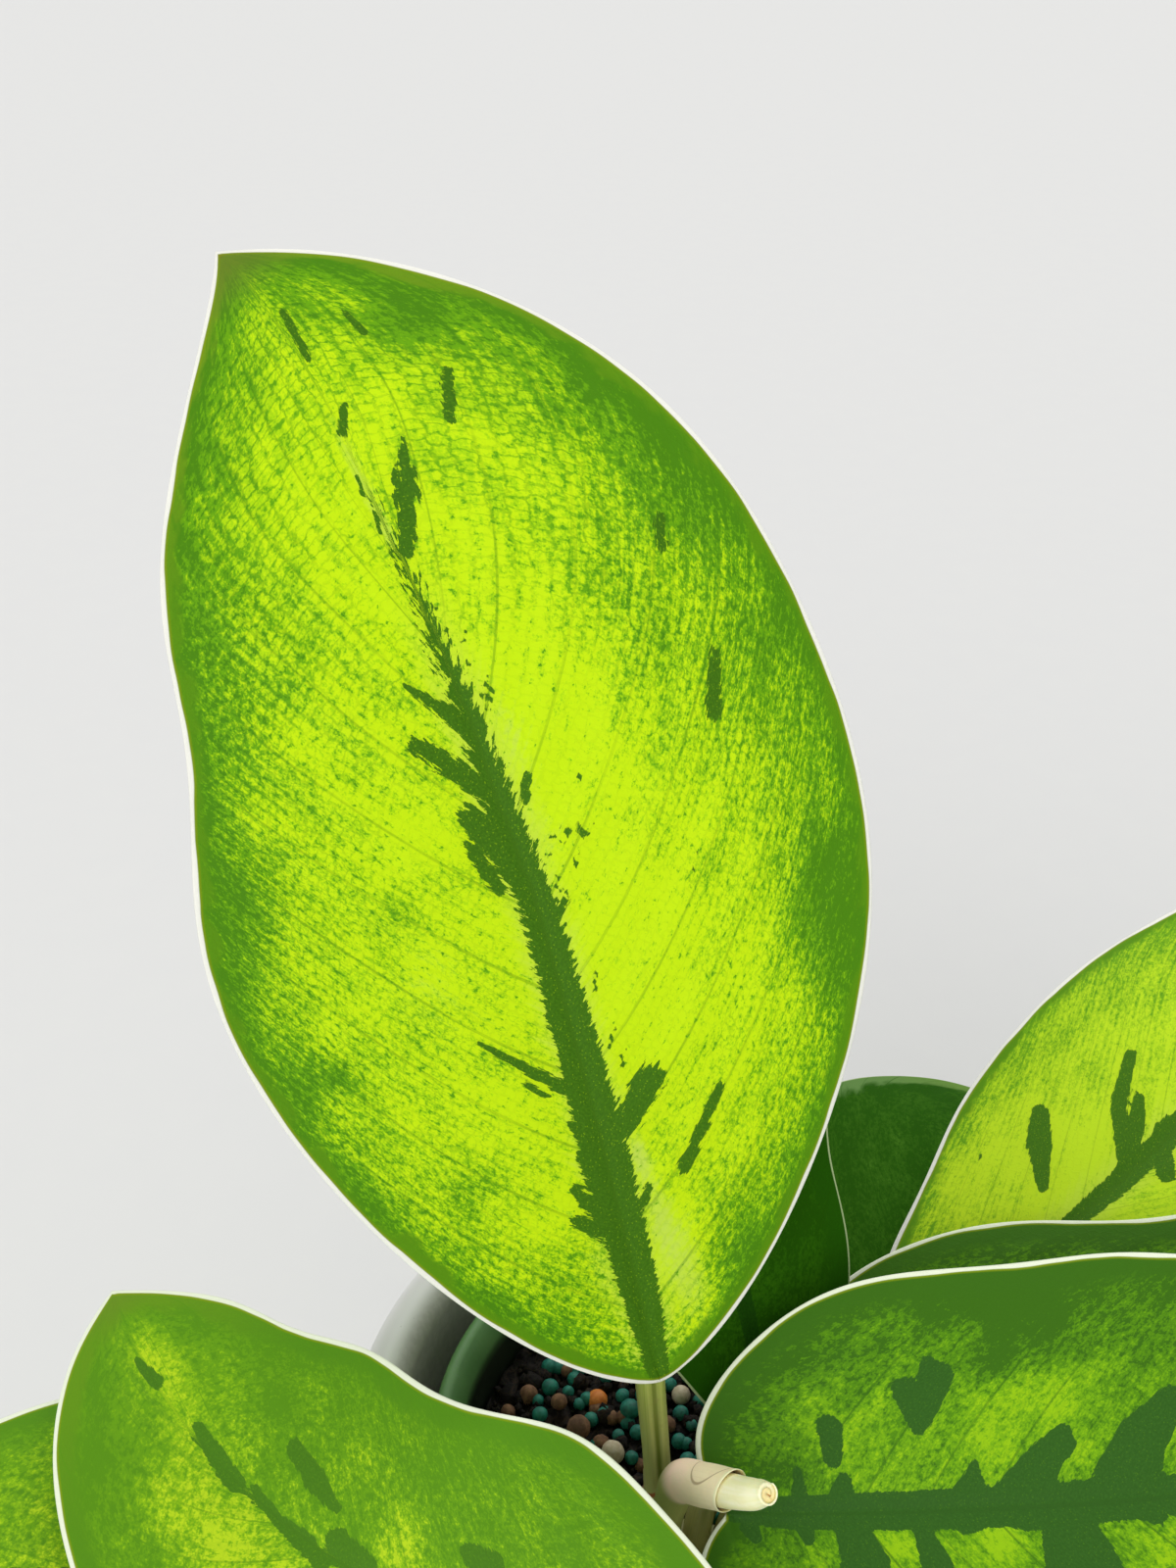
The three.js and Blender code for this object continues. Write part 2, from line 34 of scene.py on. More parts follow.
# The leaves, with the same numbers as the solids they stand for. heading, rise and roll aim the
# blade, sweep and hook bend it sideways, droop and nod bend it down (degrees over its length), and
# dents are (side, station, spread, depth) of shallow bays in the margin, side 1 being the left.
LEAF_FIELDS = (
    "base", "seat", "radii", "aim", "bend", "size", "cup", "lobe", "powers", "skew", "wave", "dents")
LEAF_ROWS = {
    "leaf_hero": (
        (-10.5, -21.5, 151), (-9.5, -21), (2.3, 2.9), (124.5, 68.5, -17), (2, 29, 22.5, 17.5), (197, 105),
        5, 2.2, (0.86, 0.95), -0.04, (0.8, 2.4),
        ((1, 0.6, 0.13, 0.116), (-1, 0.74, 0.13, -0.043), (-1, 0.96, 0.08, 0.061))),
    "leaf_front_left": (
        (-7.5, -61, 138.5), (-6.5, -35.5), (1.9, 2.4), (175, -1, -26), (-55, 0, 19, 4), (124, 61.5),
        9.5, 11.8, (0.72, 0.8), 0, (0.6, 2.2),
        ((-1, 0.2, 0.12, -0.19), (-1, 0.45, 0.14, 0.107), (-1, 0.72, 0.12, 0.12), (1, 0.7, 0.15, 0.033))),
    "leaf_far_left": (
        (-21.5, -25.5, 119), (-15, -26), (1.9, 2.4), (193, 6, -5), (-13.5, 0, 4.5, 4), (136, 66),
        7.7, 6.2, (0.72, 0.8), 0, (1, 2.6), ()),
    "leaf_right": (
        (0.5, -30, 129.5), (0.5, -28.5), (2.1, 2.5), (-5, 7, 28.5), (12, 0, 12, 4), (153.5, 95),
        8.2, 11.6, (0.72, 0.8), 0, (0.5, 2.2),
        ((1, 0.13, 0.1, -0.071), (1, 0.36, 0.15, 0.16), (1, 0.58, 0.16, 0.219), (-1, 0.12, 0.1, -0.05))),
    "leaf_right_under": (
        (20, 2, 124), (2.5, -17.5), (2, 2.4), (-13.5, 8.5, 19.5), (-11, 0, 12.5, 4), (151, 80),
        8.4, 7.7, (0.72, 0.8), 0, (0.6, 2.5), ((1, 0.35, 0.13, 0.116), (1, 0.55, 0.15, -0.089))),
    "leaf_rear_right": (
        (36.5, 8, 120.5), (2.5, -23), (2, 2.4), (28.5, 16, 5.5), (17.5, 0, -3.5, 4), (164, 76),
        6, 4.8, (0.72, 0.8), 0, (0.6, 2.4), ((1, 0.15, 0.1, 0.1), (1, 0.4, 0.14, 0.022))),
    "leaf_back": (
        (25, 10, 111.5), (-2.5, -15), (1.9, 2.3), (55.5, 23, -1), (-5.5, 0, 57, 4), (104, 71.5),
        7.9, 6, (0.72, 0.8), 0, (0.8, 2.2), ()),
    "leaf_behind_hero": (
        (7.5, -6, 132), (-3.5, -20.5), (1.9, 2.3), (107, 54, 5), (18.5, 0, 27, 4), (119, 65),
        8, 10.5, (0.72, 0.8), 0, (0.6, 2.2), ((1, 0.1, 0.1, 0.2), (-1, 0.3, 0.12, 0.22))),
    "leaf_front": (
        (0, -62.5, 123), (-0.8, -34), (1.9, 2.4), (-87, 20, 0), (0, 0, 28, 4), (113, 65),
        7.9, 5.3, (0.72, 0.8), 0, (1.2, 2.6), ()),
    "leaf_back_left": (
        (-10.5, 2, 129), (-9.5, -14.5), (1.9, 2.4), (120, 50, 0), (0, 0, 24, 4), (122, 62),
        8, 5.9, (0.72, 0.8), 0, (1, 2.4), ()),
}
LEAVES = {name: dict(zip(LEAF_FIELDS, row)) for name, row in LEAF_ROWS.items()}

# How far a side vein starts towards the tip for each step outwards, where it isn't the usual share.
VEIN_SLOPES = {"leaf_rear_right": 1.5}
for leaf_name, leaf_row in LEAVES.items():
    leaf_row["slope"] = VEIN_SLOPES.get(leaf_name, 0.7)

BLADE_THICKNESS = 0.9
MARGIN_THICKNESS = 0.6
TIP_CUSP = 0.3
TIP_CUSP_REACH = 0.03
LOBE_STATION = 0.07
STALK_INSET = 0.02
MAIN_VEINS = 15.0
VEIN_STEEPER = 45.0
VEIN_POWER = 6
VEIN_CURL = 0.55
VEIN_GATHER = 0.58
CROWN_CENTRE = (-5.5, -25.0)
CROWN_RADIUS = 14.0
CROWN_TOP = 101.0
CROWN_DEPTH = 20.0
SOIL_TOP = 98.0
CLEARANCE = 0.3

# Dark splashes on the blades, one row each: station and millimetres from the midrib (left positive)
# where it starts, the same where it ends, and its half width at start and end.
SPLASHES = {
    "leaf_hero": (
        (0.546, 1.3, 0.598, 9.1, 1.9, 0.4), (0.502, 2.3, 0.551, 10.4, 2.2, 1.3),
        (0.435, 1.2, 0.487, 6.0, 2.9, 1.9), (0.428, 5.1, 0.467, 7.5, 1.3, 0.9),
        (0.253, 1.6, 0.320, 14.4, 1.3, 0.4), (0.263, 6.7, 0.278, 9.5, 0.6, 0.4),
        (0.204, 1.8, 0.236, 4.1, 1.5, 0.6), (0.174, 2.0, 0.209, 3.9, 2.0, 0.9),
        (0.145, 2.0, 0.184, 5.9, 2.1, 0.9), (0.133, 0.8, 0.160, 7.4, 1.8, 0.9),
        (0.219, -3.1, 0.251, -9.7, 2.0, 2.3), (0.174, -11.3, 0.229, -19.7, 1.1, 0.8),
        (0.155, -3.6, 0.167, -5.3, 0.8, 0.6), (0.694, 1.0, 0.738, -2.8, 1.3, 1.8),
        (0.738, -3.2, 0.775, -5.8, 1.5, 0.4), (0.748, -1.7, 0.765, -4.6, 0.6, 0.4),
        (0.800, 1.6, 0.819, -0.5, 0.9, 0.6), (0.775, -13.7, 0.804, -16.6, 0.9, 1.0),
        (0.770, -13.8, 0.775, -13.9, 0.6, 0.6), (0.630, -35.2, 0.649, -36.5, 1.0, 0.9),
        (0.504, -34.3, 0.546, -37.4, 1.3, 1.0), (0.868, 0.1, 0.913, -1.0, 0.6, 0.7),
        (0.861, -9.2, 0.883, -8.5, 0.5, 0.6), (0.450, -4.4, 0.457, -5.7, 0.4, 0.3),
        (0.487, -2.7, 0.504, -4.1, 0.9, 0.6), (0.485, -10.9, 0.494, -12.0, 0.4, 0.3),
        (0.393, -2.4, 0.408, -4.6, 0.7, 0.6), (0.423, -6.5, 0.438, -7.9, 0.4, 0.4),
        (0.435, -2.7, 0.443, -4.1, 0.4, 0.3), (0.448, -10.6, 0.455, -11.5, 0.4, 0.3),
        (0.445, -6.3, 0.460, -7.6, 0.4, 0.4), (0.455, -8.2, 0.460, -9.0, 0.3, 0.3),
        (0.416, -3.2, 0.423, -4.3, 0.4, 0.3), (0.443, -9.0, 0.453, -9.5, 0.3, 0.3),
        (0.386, -22.8, 0.413, -26.1, 0.3, 0.2), (0.588, 0.0, 0.600, -1.8, 0.3, 0.3),
        (0.568, -1.1, 0.583, -3.4, 0.4, 0.3), (0.556, -1.3, 0.571, -3.2, 0.4, 0.3),
        (0.622, 1.2, 0.630, -0.5, 0.4, 0.3), (0.610, -1.0, 0.620, -2.6, 0.3, 0.3),
        (0.713, 3.6, 0.733, 3.0, 0.4, 0.3), (0.748, 3.4, 0.763, 3.0, 0.4, 0.3),
        (0.632, 1.8, 0.647, 0.0, 0.3, 0.3), (0.283, -4.5, 0.300, -6.3, 0.4, 0.3),
        (0.265, -5.5, 0.280, -6.8, 0.4, 0.3), (0.329, -4.5, 0.344, -5.6, 0.4, 0.3),
        (0.310, 2.0, 0.325, 1.8, 0.4, 0.3), (0.349, 1.7, 0.359, 1.4, 0.4, 0.3),
        (0.248, -5.7, 0.258, -7.9, 0.5, 0.3)),
    "leaf_right": (
        (0.211, 12.0, 0.209, 17.3, 1.3, 2.5), (0.216, 13.1, 0.248, 20.1, 1.4, 1.9),
        (0.226, 16.8, 0.238, 21.7, 1.9, 1.3), (0.118, 7.8, 0.125, 12.6, 1.4, 1.9),
        (0.076, 1.7, 0.081, 6.2, 1.4, 0.6), (0.120, 1.3, 0.125, 4.8, 2.5, 1.1),
        (0.246, 0.0, 0.256, 3.3, 3.7, 2.0), (0.256, 3.3, 0.261, 6.4, 1.9, 0.8),
        (0.307, 0.9, 0.332, 6.1, 4.7, 2.8), (0.332, 6.1, 0.359, 10.2, 2.8, 1.4),
        (0.357, 7.8, 0.369, 8.9, 1.4, 0.5), (0.416, 2.6, 0.438, 8.4, 5.3, 3.7),
        (0.438, 8.4, 0.480, 13.7, 3.8, 2.2), (0.128, -2.6, 0.142, -8.0, 2.5, 3.7),
        (0.199, -2.9, 0.211, -8.3, 1.4, 2.5), (0.344, -2.5, 0.352, -9.3, 4.0, 5.9),
        (0.421, -1.9, 0.438, -4.0, 1.2, 0.6), (0.024, -1.6, 0.037, -4.0, 1.3, 0.6),
        (0.078, -1.7, 0.086, -4.1, 1.4, 0.8)),
    "leaf_front_left": (
        (0.868, 0.6, 0.815, -0.4, 0.5, 1.3), (0.718, -1.4, 0.667, -0.7, 0.9, 1.6),
        (0.667, -0.7, 0.615, 0.0, 1.6, 1.4),
        (0.583, -9.5, 0.531, -7.8, 1.2, 1.8), (0.531, -7.8, 0.480, -6.1, 1.8, 0.8),
        (0.460, -2.5, 0.411, -1.2, 1.8, 2.1), (0.295, -9.1, 0.263, -8.3, 1.5, 2.3),
        (0.534, -0.1, 0.489, -0.6, 0.9, 0.7), (0.593, -1.1, 0.526, 0.3, 0.8, 0.9),
        (0.526, 0.3, 0.460, 1.2, 0.9, 1.1)),
    "leaf_rear_right": (
        (0.352, 1.6, 0.411, 10.8, 1.1, 1.5), (0.411, 10.8, 0.480, 16.3, 1.6, 1.2),
        (0.352, 1.1, 0.403, 5.3, 1.3, 1.7), (0.403, 5.3, 0.438, 9.1, 1.8, 1.0),
        (0.261, 8.3, 0.300, 15.1, 1.1, 2.3), (0.300, 15.1, 0.337, 20.1, 2.5, 1.8),
        (0.261, -0.5, 0.339, -1.1, 1.5, 1.7), (0.339, -1.1, 0.435, 0.2, 1.7, 2.7),
        (0.376, -5.3, 0.423, 2.0, 1.9, 1.1), (0.236, 20.3, 0.246, 22.0, 0.4, 0.4),
        (0.312, -2.4, 0.312, 0.2, 0.8, 0.6)),
}

# Half width of the dark stain along the midrib: stations and millimetres.
STAINS = {
    "leaf_hero": ((0, 0.05, 0.1, 0.2, 0.3, 0.4, 0.5, 0.6, 0.66, 0.72, 0.78, 0.85, 1),
                  (1.6, 2.6, 3.2, 3.7, 3.3, 2.9, 2.5, 1.6, 0.8, 0.2, -0.6, -2.5, -4)),
    "leaf_right": ((0, 0.06, 0.15, 0.4, 0.7, 1), (1.2, 2.4, 2.8, 3.2, 2.0, 0)),
    "leaf_front_left": ((0, 0.2, 0.42, 0.5, 0.62, 0.7, 0.75, 1), (2.5, 1.6, 0.6, 0.5, 0.4, 0.2, -0.8, -1)),
    "leaf_rear_right": ((0, 0.2, 0.3, 0.5, 0.8, 1), (0.9, 1.2, 1.9, 2.4, 1.2, 0)),
}
PLAIN_STAIN = ((0, 0.1, 0.5, 1), (1.2, 1.6, 1.1, 0))
STAIN_TORN = ((0, 0.3, 0.45, 0.55, 0.62, 0.75, 0.85, 1), (3, 4.5, 6, 9, 12, 12, 8, 6))

# How far the upper face's midrib line, with its stain and veins, lies left of the blade's middle:
# stations and millimetres.
DRIFTS = {
    "leaf_hero": ((0, 0.4, 0.5, 0.6, 0.7, 0.75, 0.8, 0.9, 1), (0, 0.2, 1.4, 1.8, 2.6, 2.8, 1.9, 0.8, 0)),
}
NO_DRIFT = ((0, 1), (0, 0))

# Pale patches beside the midrib: station, millimetres from the midrib, reach along and across, amount.
PALES = {
    "leaf_hero": (
        (0.192, -4.9, 3.8, 1.6, 0.80), (0.140, -5.8, 6.3, 2.3, 0.50), (0.086, -7.7, 9.7, 4.3, 0.50),
        (0.534, -3.2, 7.5, 2.6, 0.40), (0.460, -3.6, 6.5, 2.4, 0.35), (0.113, 4.6, 7.7, 2.8, 0.40),
        (0.711, 2.7, 5.0, 1.3, 0.45), (0.755, 2.8, 6.0, 1.2, 0.42), (0.800, 2.2, 6.0, 1.1, 0.25),
        (0.371, 19.0, 8.9, 6.1, 0.20)),
}

# How densely darker green is washed over each blade: over all of it, added at the margin, and the
# distance in which that fades, at the base and towards the tip.
WASH_BANDS = {
    "leaf_hero": (0.06, 1.12, 6.5, 11.5),
    "leaf_rear_right": (0.10, 0.60, 5, 8),
    "leaf_right": (0.50, 0.65, 8, 11),
    "leaf_front_left": (0.70, 0.3, 8, 8),
    "leaf_far_left": (0.5, 0.4, 9, 9),
    "leaf_right_under": (0.78, 0.2, 9, 9),
    "leaf_front": (0.4, 0.6, 8, 10),
    "leaf_back_left": (0.3, 0.8, 8, 10),
    "leaf_back": (0.8, 0.3, 8, 8),
    "leaf_behind_hero": (0.8, 0.3, 8, 8),
}

# Local patches of the wash: station, millimetres from the midrib, reach along and across, amount.
WASHES = {
    "leaf_hero": (
        (0.910, 2.4, 7.2, 5.9, -0.34), (0.854, 15.8, 8.1, 4.9, -0.12), (0.898, -7.4, 4.7, 5.4, -0.15),
        (0.745, 22.7, 9.4, 5.7, -0.14), (0.802, 4.8, 7.5, 7.3, -0.16), (0.563, 35.4, 9.8, 5.6, -0.16),
        (0.645, -25.9, 9.7, 9.4, 0.14), (0.514, -32.1, 12.9, 9.7, 0.18), (0.315, 23.4, 9.0, 9.9, 0.14),
        (0.339, -41.7, 12.7, 5.9, 0.50), (0.588, -27.9, 10.3, 4.7, 0.30),
        (0.526, -42.8, 12.1, 7.5, 0.20), (0.689, -43.1, 7.7, 6.3, 0.45), (0.750, -34.8, 4.3, 7.9, 0.35),
        (0.465, 41.6, 11.5, 8.0, 0.18), (0.600, 36.8, 13.2, 6.7, 0.04), (0.332, 37.4, 3.3, 4.8, 0.50),
        (0.214, 21.0, 2.8, 3.6, 0.45), (0.900, -1.4, 5.5, 6.9, 0.40), (0.849, -16.2, 5.7, 5.2, 0.32),
        (0.113, 8.9, 5.9, 9.1, 0.25), (0.101, -17.3, 8.3, 4.8, 0.40), (0.699, 26.3, 9.9, 8.5, 0.15),
        (0.371, -45.9, 8.7, 4.6, 0.30), (0.430, 21.5, 4.9, 6.2, 0.18), (0.652, -39.6, 7.0, 5.2, 0.20),
        (0.519, -8.7, 16.7, 10.1, -0.30), (0.334, -7.1, 17.5, 9.8, -0.30),
        (0.713, 9.7, 10.3, 7.9, -0.15), (0.288, 25.1, 8.3, 10.1, -0.10),
        (0.096, -6.7, 11.3, 5.1, -0.35)),
    "leaf_right": (
        (0.364, 28.7, 6.9, 4.7, 0.50), (0.310, 22.1, 6.5, 4.2, 0.40), (0.160, 22.6, 8.2, 6.2, 0.15),
        (0.310, 32.5, 18.5, 5.1, 0.35), (0.457, 22.8, 8.1, 6.0, 0.08), (0.342, 15.7, 9.4, 4.1, -0.35),
        (0.150, 9.1, 6.1, 5.8, -0.35), (0.283, 9.8, 7.6, 4.5, -0.30), (0.389, 19.0, 9.4, 4.4, -0.12),
        (0.037, -6.7, 3.1, 2.5, -0.40), (0.167, -6.1, 3.4, 3.0, -0.50), (0.265, -5.8, 5.0, 3.4, -0.50),
        (0.425, -8.7, 5.0, 3.3, -0.40), (0.069, 6.2, 7.2, 7.1, 0.20), (0.499, 28.4, 5.2, 7.5, 0.00)),
    "leaf_front_left": (
        (0.800, -2.0, 11.0, 4.6, -0.50), (0.667, 5.7, 10.5, 7.5, -0.50), (0.868, -1.3, 5.4, 3.1, -0.25),
        (0.530, 7.5, 13.0, 6.5, -0.45), (0.400, 7.0, 12.0, 5.5, -0.40),
        (0.477, -12.5, 6.4, 4.1, -0.20), (0.376, -9.0, 5.4, 3.7, -0.30), (0.630, -12.4, 3.7, 2.8, 0.30),
        (0.376, -17.9, 9.1, 4.8, 0.20), (0.760, 12.8, 7.5, 5.6, 0.20), (0.384, -4.2, 4.5, 2.8, -0.40)),
    "leaf_rear_right": (
        (0.204, 24.7, 6.9, 7.0, -0.20), (0.315, 9.9, 10.9, 9.6, -0.30), (0.403, 24.5, 10.9, 10.2, 0.15),
        (0.595, 23.5, 11.7, 10.5, 0.20)),
}


def smoothstep(x, low, high):
    """Zero below low, one above high, and an eased ramp between."""
    k = np.clip((x - low) / (high - low), 0.0, 1.0)
    return k * k * (3.0 - 2.0 * k)


def fall(distance, spread):
    """A bell: one at no distance, fading over the spread."""
    return np.exp(-((distance / spread) ** 2))


def unit(v):
    """The vectors brought to length one."""
    return v / np.linalg.norm(v, axis=-1, keepdims=True)


# Meshes


def new_mesh(name, points, faces, uv=None, fields=None):
    """A smooth-shaded piece from points (metres) and faces, with one value of each field and one pair
    of uv for each point."""
    mesh = bpy.data.meshes.new(name)
    mesh.from_pydata(points.tolist(), [], faces)
    mesh.polygons.foreach_set("use_smooth", np.ones(len(mesh.polygons), bool))
    corners = np.empty(len(mesh.loops), np.int32)
    mesh.loops.foreach_get("vertex_index", corners)
    if uv is not None:
        layer = mesh.uv_layers.new(name="flat")
        layer.data.foreach_set("uv", np.ascontiguousarray(uv[corners], np.float32).ravel())
    for key, values in (fields or {}).items():
        attribute = mesh.attributes.new(key, "FLOAT", "POINT")
        attribute.data.foreach_set("value", np.ascontiguousarray(values, np.float32))
    mesh.update()
    piece = bpy.data.objects.new(name, mesh)
    bpy.context.scene.collection.objects.link(piece)
    return piece


def closed_loft(name, rings, uv=None, fields=None):
    """A closed skin over rings[i, j]: neighbours are joined in quads, the last column to the first,
    and each end is closed by a fan to the middle of its ring."""
    rows, columns = rings.shape[:2]
    i, j = np.meshgrid(np.arange(rows - 1), np.arange(columns), indexing="ij")
    a = i * columns + j
    b = i * columns + (j + 1) % columns
    quads = np.stack([a, b, b + columns, a + columns], -1).reshape(-1, 4)
    k = np.arange(columns)
    after = (k + 1) % columns
    last = (rows - 1) * columns
    foot = rows * columns
    start_fan = np.stack([np.full(columns, foot), after, k], -1)
    end_fan = np.stack([np.full(columns, foot + 1), last + k, last + after], -1)

    def with_poles(grid):
        """The grid's points in one list, with the mean of its first and of its last ring at the end."""
        flat = grid.reshape(rows * columns, -1)
        return np.concatenate([flat, flat[:columns].mean(0)[None], flat[last:foot].mean(0)[None]])

    points = with_poles(rings)
    faces = quads.tolist() + start_fan.tolist() + end_fan.tolist()
    uv = None if uv is None else with_poles(uv)
    fields = {key: with_poles(value)[:, 0] for key, value in (fields or {}).items()}
    return new_mesh(name, points, faces, uv, fields)


def closed_sheet(name, outer, inner, uv=None):
    """Two grids of points a wall apart, joined round their borders into one closed skin."""
    rows, columns = outer.shape[:2]
    i, j = np.meshgrid(np.arange(rows - 1), np.arange(columns - 1), indexing="ij")
    a = (i * columns + j).ravel()
    front = np.stack([a, a + 1, a + columns + 1, a + columns], -1)
    under = rows * columns
    back = front[:, ::-1] + under
    top = (rows - 1) * columns
    around = np.concatenate([
        np.arange(columns - 1), np.arange(rows - 1) * columns + columns - 1,
        top + np.arange(columns - 1, 0, -1), np.arange(rows - 1, 0, -1) * columns])
    onward = np.roll(around, -1)
    border = np.stack([around, around + under, onward + under, onward], -1)
    points = np.concatenate([outer.reshape(-1, 3), inner.reshape(-1, 3)])
    uv = None if uv is None else np.concatenate([uv.reshape(-1, 2)] * 2)
    return new_mesh(name, points, np.concatenate([front, back, border]).tolist(), uv)


def turned(name, profile, columns, marks=None):
    """The profile, points of radius and height from one end of the axis to the other, turned about
    the Z axis. marks gives each profile point a value, kept as the field "inside"."""
    radius, height = np.asarray(profile, float).T
    angle = np.linspace(0, 2 * math.pi, columns, endpoint=False)
    rings = np.stack([
        radius[:, None] * np.cos(angle), radius[:, None] * np.sin(angle),
        np.broadcast_to(height[:, None], (len(height), columns))], -1) * MM
    fields = None
    if marks is not None:
        fields = {"inside": np.broadcast_to(np.asarray(marks, float)[:, None], rings.shape[:2]).copy()}
    return closed_loft(name, rings, fields=fields)


def arc(centre, radius, start, end, steps):
    """Points of a circle's arc from one angle to another, in degrees."""
    angle = np.radians(np.linspace(start, end, steps + 1))
    return np.stack([centre[0] + radius * np.cos(angle), centre[1] + radius * np.sin(angle)], -1)


def repeated(name, template, faces, centres, sizes, turns, lumps):
    """One piece of many small bodies: the template's points, each pushed in or out by its lump,
    scaled by sizes, turned and set at a centre."""
    points = template[None] * lumps[..., None] * sizes[:, None, :]
    points = np.einsum("nij,nkj->nki", turns, points) + centres[:, None, :]
    count, each = points.shape[:2]
    offset = np.arange(count)[:, None, None] * each
    quads = (np.asarray(faces)[None] + offset).reshape(-1, 4)
    return new_mesh(name, points.reshape(-1, 3) * MM, quads.tolist())


def ball_template(rings, columns):
    """A ball of radius one as a box-like grid: latitude rings between two small end faces."""
    latitude = np.linspace(-0.93, 0.93, rings) * math.pi / 2
    angle = np.linspace(0, 2 * math.pi, columns, endpoint=False)
    points = np.stack([
        np.cos(latitude)[:, None] * np.cos(angle), np.cos(latitude)[:, None] * np.sin(angle),
        np.broadcast_to(np.sin(latitude)[:, None], (rings, columns))], -1).reshape(-1, 3)
    i, j = np.meshgrid(np.arange(rings - 1), np.arange(columns), indexing="ij")
    a = (i * columns + j).ravel()
    b = (i * columns + (j + 1) % columns).ravel()
    quads = np.stack([a, b, b + columns, a + columns], -1).tolist()
    for first, turn in ((0, -1), ((rings - 1) * columns, 1)):
        ring = (first + np.arange(columns))[::turn]
        quads += [[ring[0], ring[k], ring[k + 1], ring[k + 2]] for k in range(1, columns - 2, 2)]
    return points, quads


# Nodes for the finishes


def linear(red, green, blue):
    """A screen colour, 0 to 255, as the linear colour that the shaders take."""
    c = np.array([red, green, blue]) / 255.0
    c = np.where(c <= 0.04045, c / 12.92, ((c + 0.055) / 1.055) ** 2.4)
    return (*[float(v) for v in c], 1.0)


class Finish:
    """A node material, with one short call for each kind of node that its pattern is made of."""

    def __init__(self, name):
        """A new material with the usual shader and output nodes."""
        self.material = bpy.data.materials.new(name)
        self.material.use_nodes = True
        self.nodes = self.material.node_tree.nodes
        self.links = self.material.node_tree.links
        self.shader = self.nodes["Principled BSDF"]
        self.output = self.nodes["Material Output"]

    def feed(self, socket, value):
        """Links a node's output to the socket, or sets the socket to a plain value."""
        if isinstance(value, bpy.types.NodeSocket):
            self.links.new(value, socket)
        else:
            socket.default_value = value

    def add(self, kind, out, inputs, **settings):
        """A new node with its settings and inputs. Gives the named output."""
        node = self.nodes.new(kind)
        for key, value in settings.items():
            setattr(node, key, value)
        for key, value in inputs.items():
            self.feed(node.inputs[key], value)
        return node.outputs[out]

    def set(self, **inputs):
        """Feeds the shader's inputs, an underscore standing for each blank in their names."""
        for key, value in inputs.items():
            self.feed(self.shader.inputs[key.replace("_", " ")], value)

    def object(self):
        """The place in metres in the piece's own frame."""
        return self.add("ShaderNodeTexCoord", "Object", {})

    def flat(self):
        """The place in the piece's flat map."""
        return self.add("ShaderNodeUVMap", "UV", {}, uv_map="flat")

    def field(self, name):
        """One of the values kept with the piece's points."""
        return self.add("ShaderNodeAttribute", "Fac", {}, attribute_name=name)

    def stretch(self, vector, x, y, z=1.0):
        """The vector times a scale for each axis."""
        return self.add("ShaderNodeMapping", "Vector", {"Vector": vector, "Scale": (x, y, z)})

    def noise(self, vector, scale, detail=2.0, roughness=0.5, out="Fac"):
        """Smooth noise from 0 to 1, or three such noises as a colour."""
        return self.add("ShaderNodeTexNoise", out, {
            "Vector": vector, "Scale": scale, "Detail": detail, "Roughness": roughness})

    def cells(self, vector, scale, feature="F1"):
        """The distance to the nearest cell's point or, as another feature, to the cell's edge."""
        return self.add(
            "ShaderNodeTexVoronoi", "Distance", {"Vector": vector, "Scale": scale}, feature=feature)

    def math(self, operation, a, b=0.0):
        """One sum, product or other operation on two values."""
        return self.add("ShaderNodeMath", 0, {0: a, 1: b}, operation=operation)

    def ramp(self, value, low, high, start=0.0, end=1.0):
        """Start where the value is at low, end where it is at high, and an eased ramp between."""
        return self.add("ShaderNodeMapRange", "Result", {
            "Value": value, "From Min": low, "From Max": high, "To Min": start, "To Max": end},
            interpolation_type="SMOOTHSTEP")

    def mix(self, factor, a, b, blend="MIX"):
        """The first colour at factor 0 and the second, or the two blended, at factor 1."""
        node = self.nodes.new("ShaderNodeMix")
        node.data_type = "RGBA"
        node.blend_type = blend
        self.feed(node.inputs[0], factor)
        self.feed(node.inputs[6], a)
        self.feed(node.inputs[7], b)
        return node.outputs[2]

    def warp(self, vector, scale, amount):
        """The vector moved about by a coloured noise, up to half of amount each way."""
        cloud = self.noise(vector, scale, 2.0, out="Color")
        centred = self.add("ShaderNodeVectorMath", 0, {0: cloud, 1: (0.5, 0.5, 0.5)}, operation="SUBTRACT")
        moved = self.add("ShaderNodeVectorMath", 0, {0: centred, 1: (amount,) * 3}, operation="MULTIPLY")
        return self.add("ShaderNodeVectorMath", 0, {0: vector, 1: moved}, operation="ADD")

    def bump(self, height, distance, strength=1.0):
        """Bends the shader's normal as if the height stood out by a distance in millimetres."""
        normal = self.add("ShaderNodeBump", "Normal", {
            "Height": height, "Distance": distance * MM, "Strength": strength})
        self.feed(self.shader.inputs["Normal"], normal)
        return normal


# Blades


def blade_axes(leaf):
    """The blade's directions at its base, from heading, rise and roll: along, sideways and upwards."""
    heading, rise, roll = np.radians(leaf["aim"])
    along = np.array([
        math.cos(heading) * math.cos(rise), math.sin(heading) * math.cos(rise), math.sin(rise)])
    left = np.array([-math.sin(heading), math.cos(heading), 0.0])
    up = np.cross(along, left)
    side = left * math.cos(roll) + up * math.sin(roll)
    return along, side, np.cross(along, side)


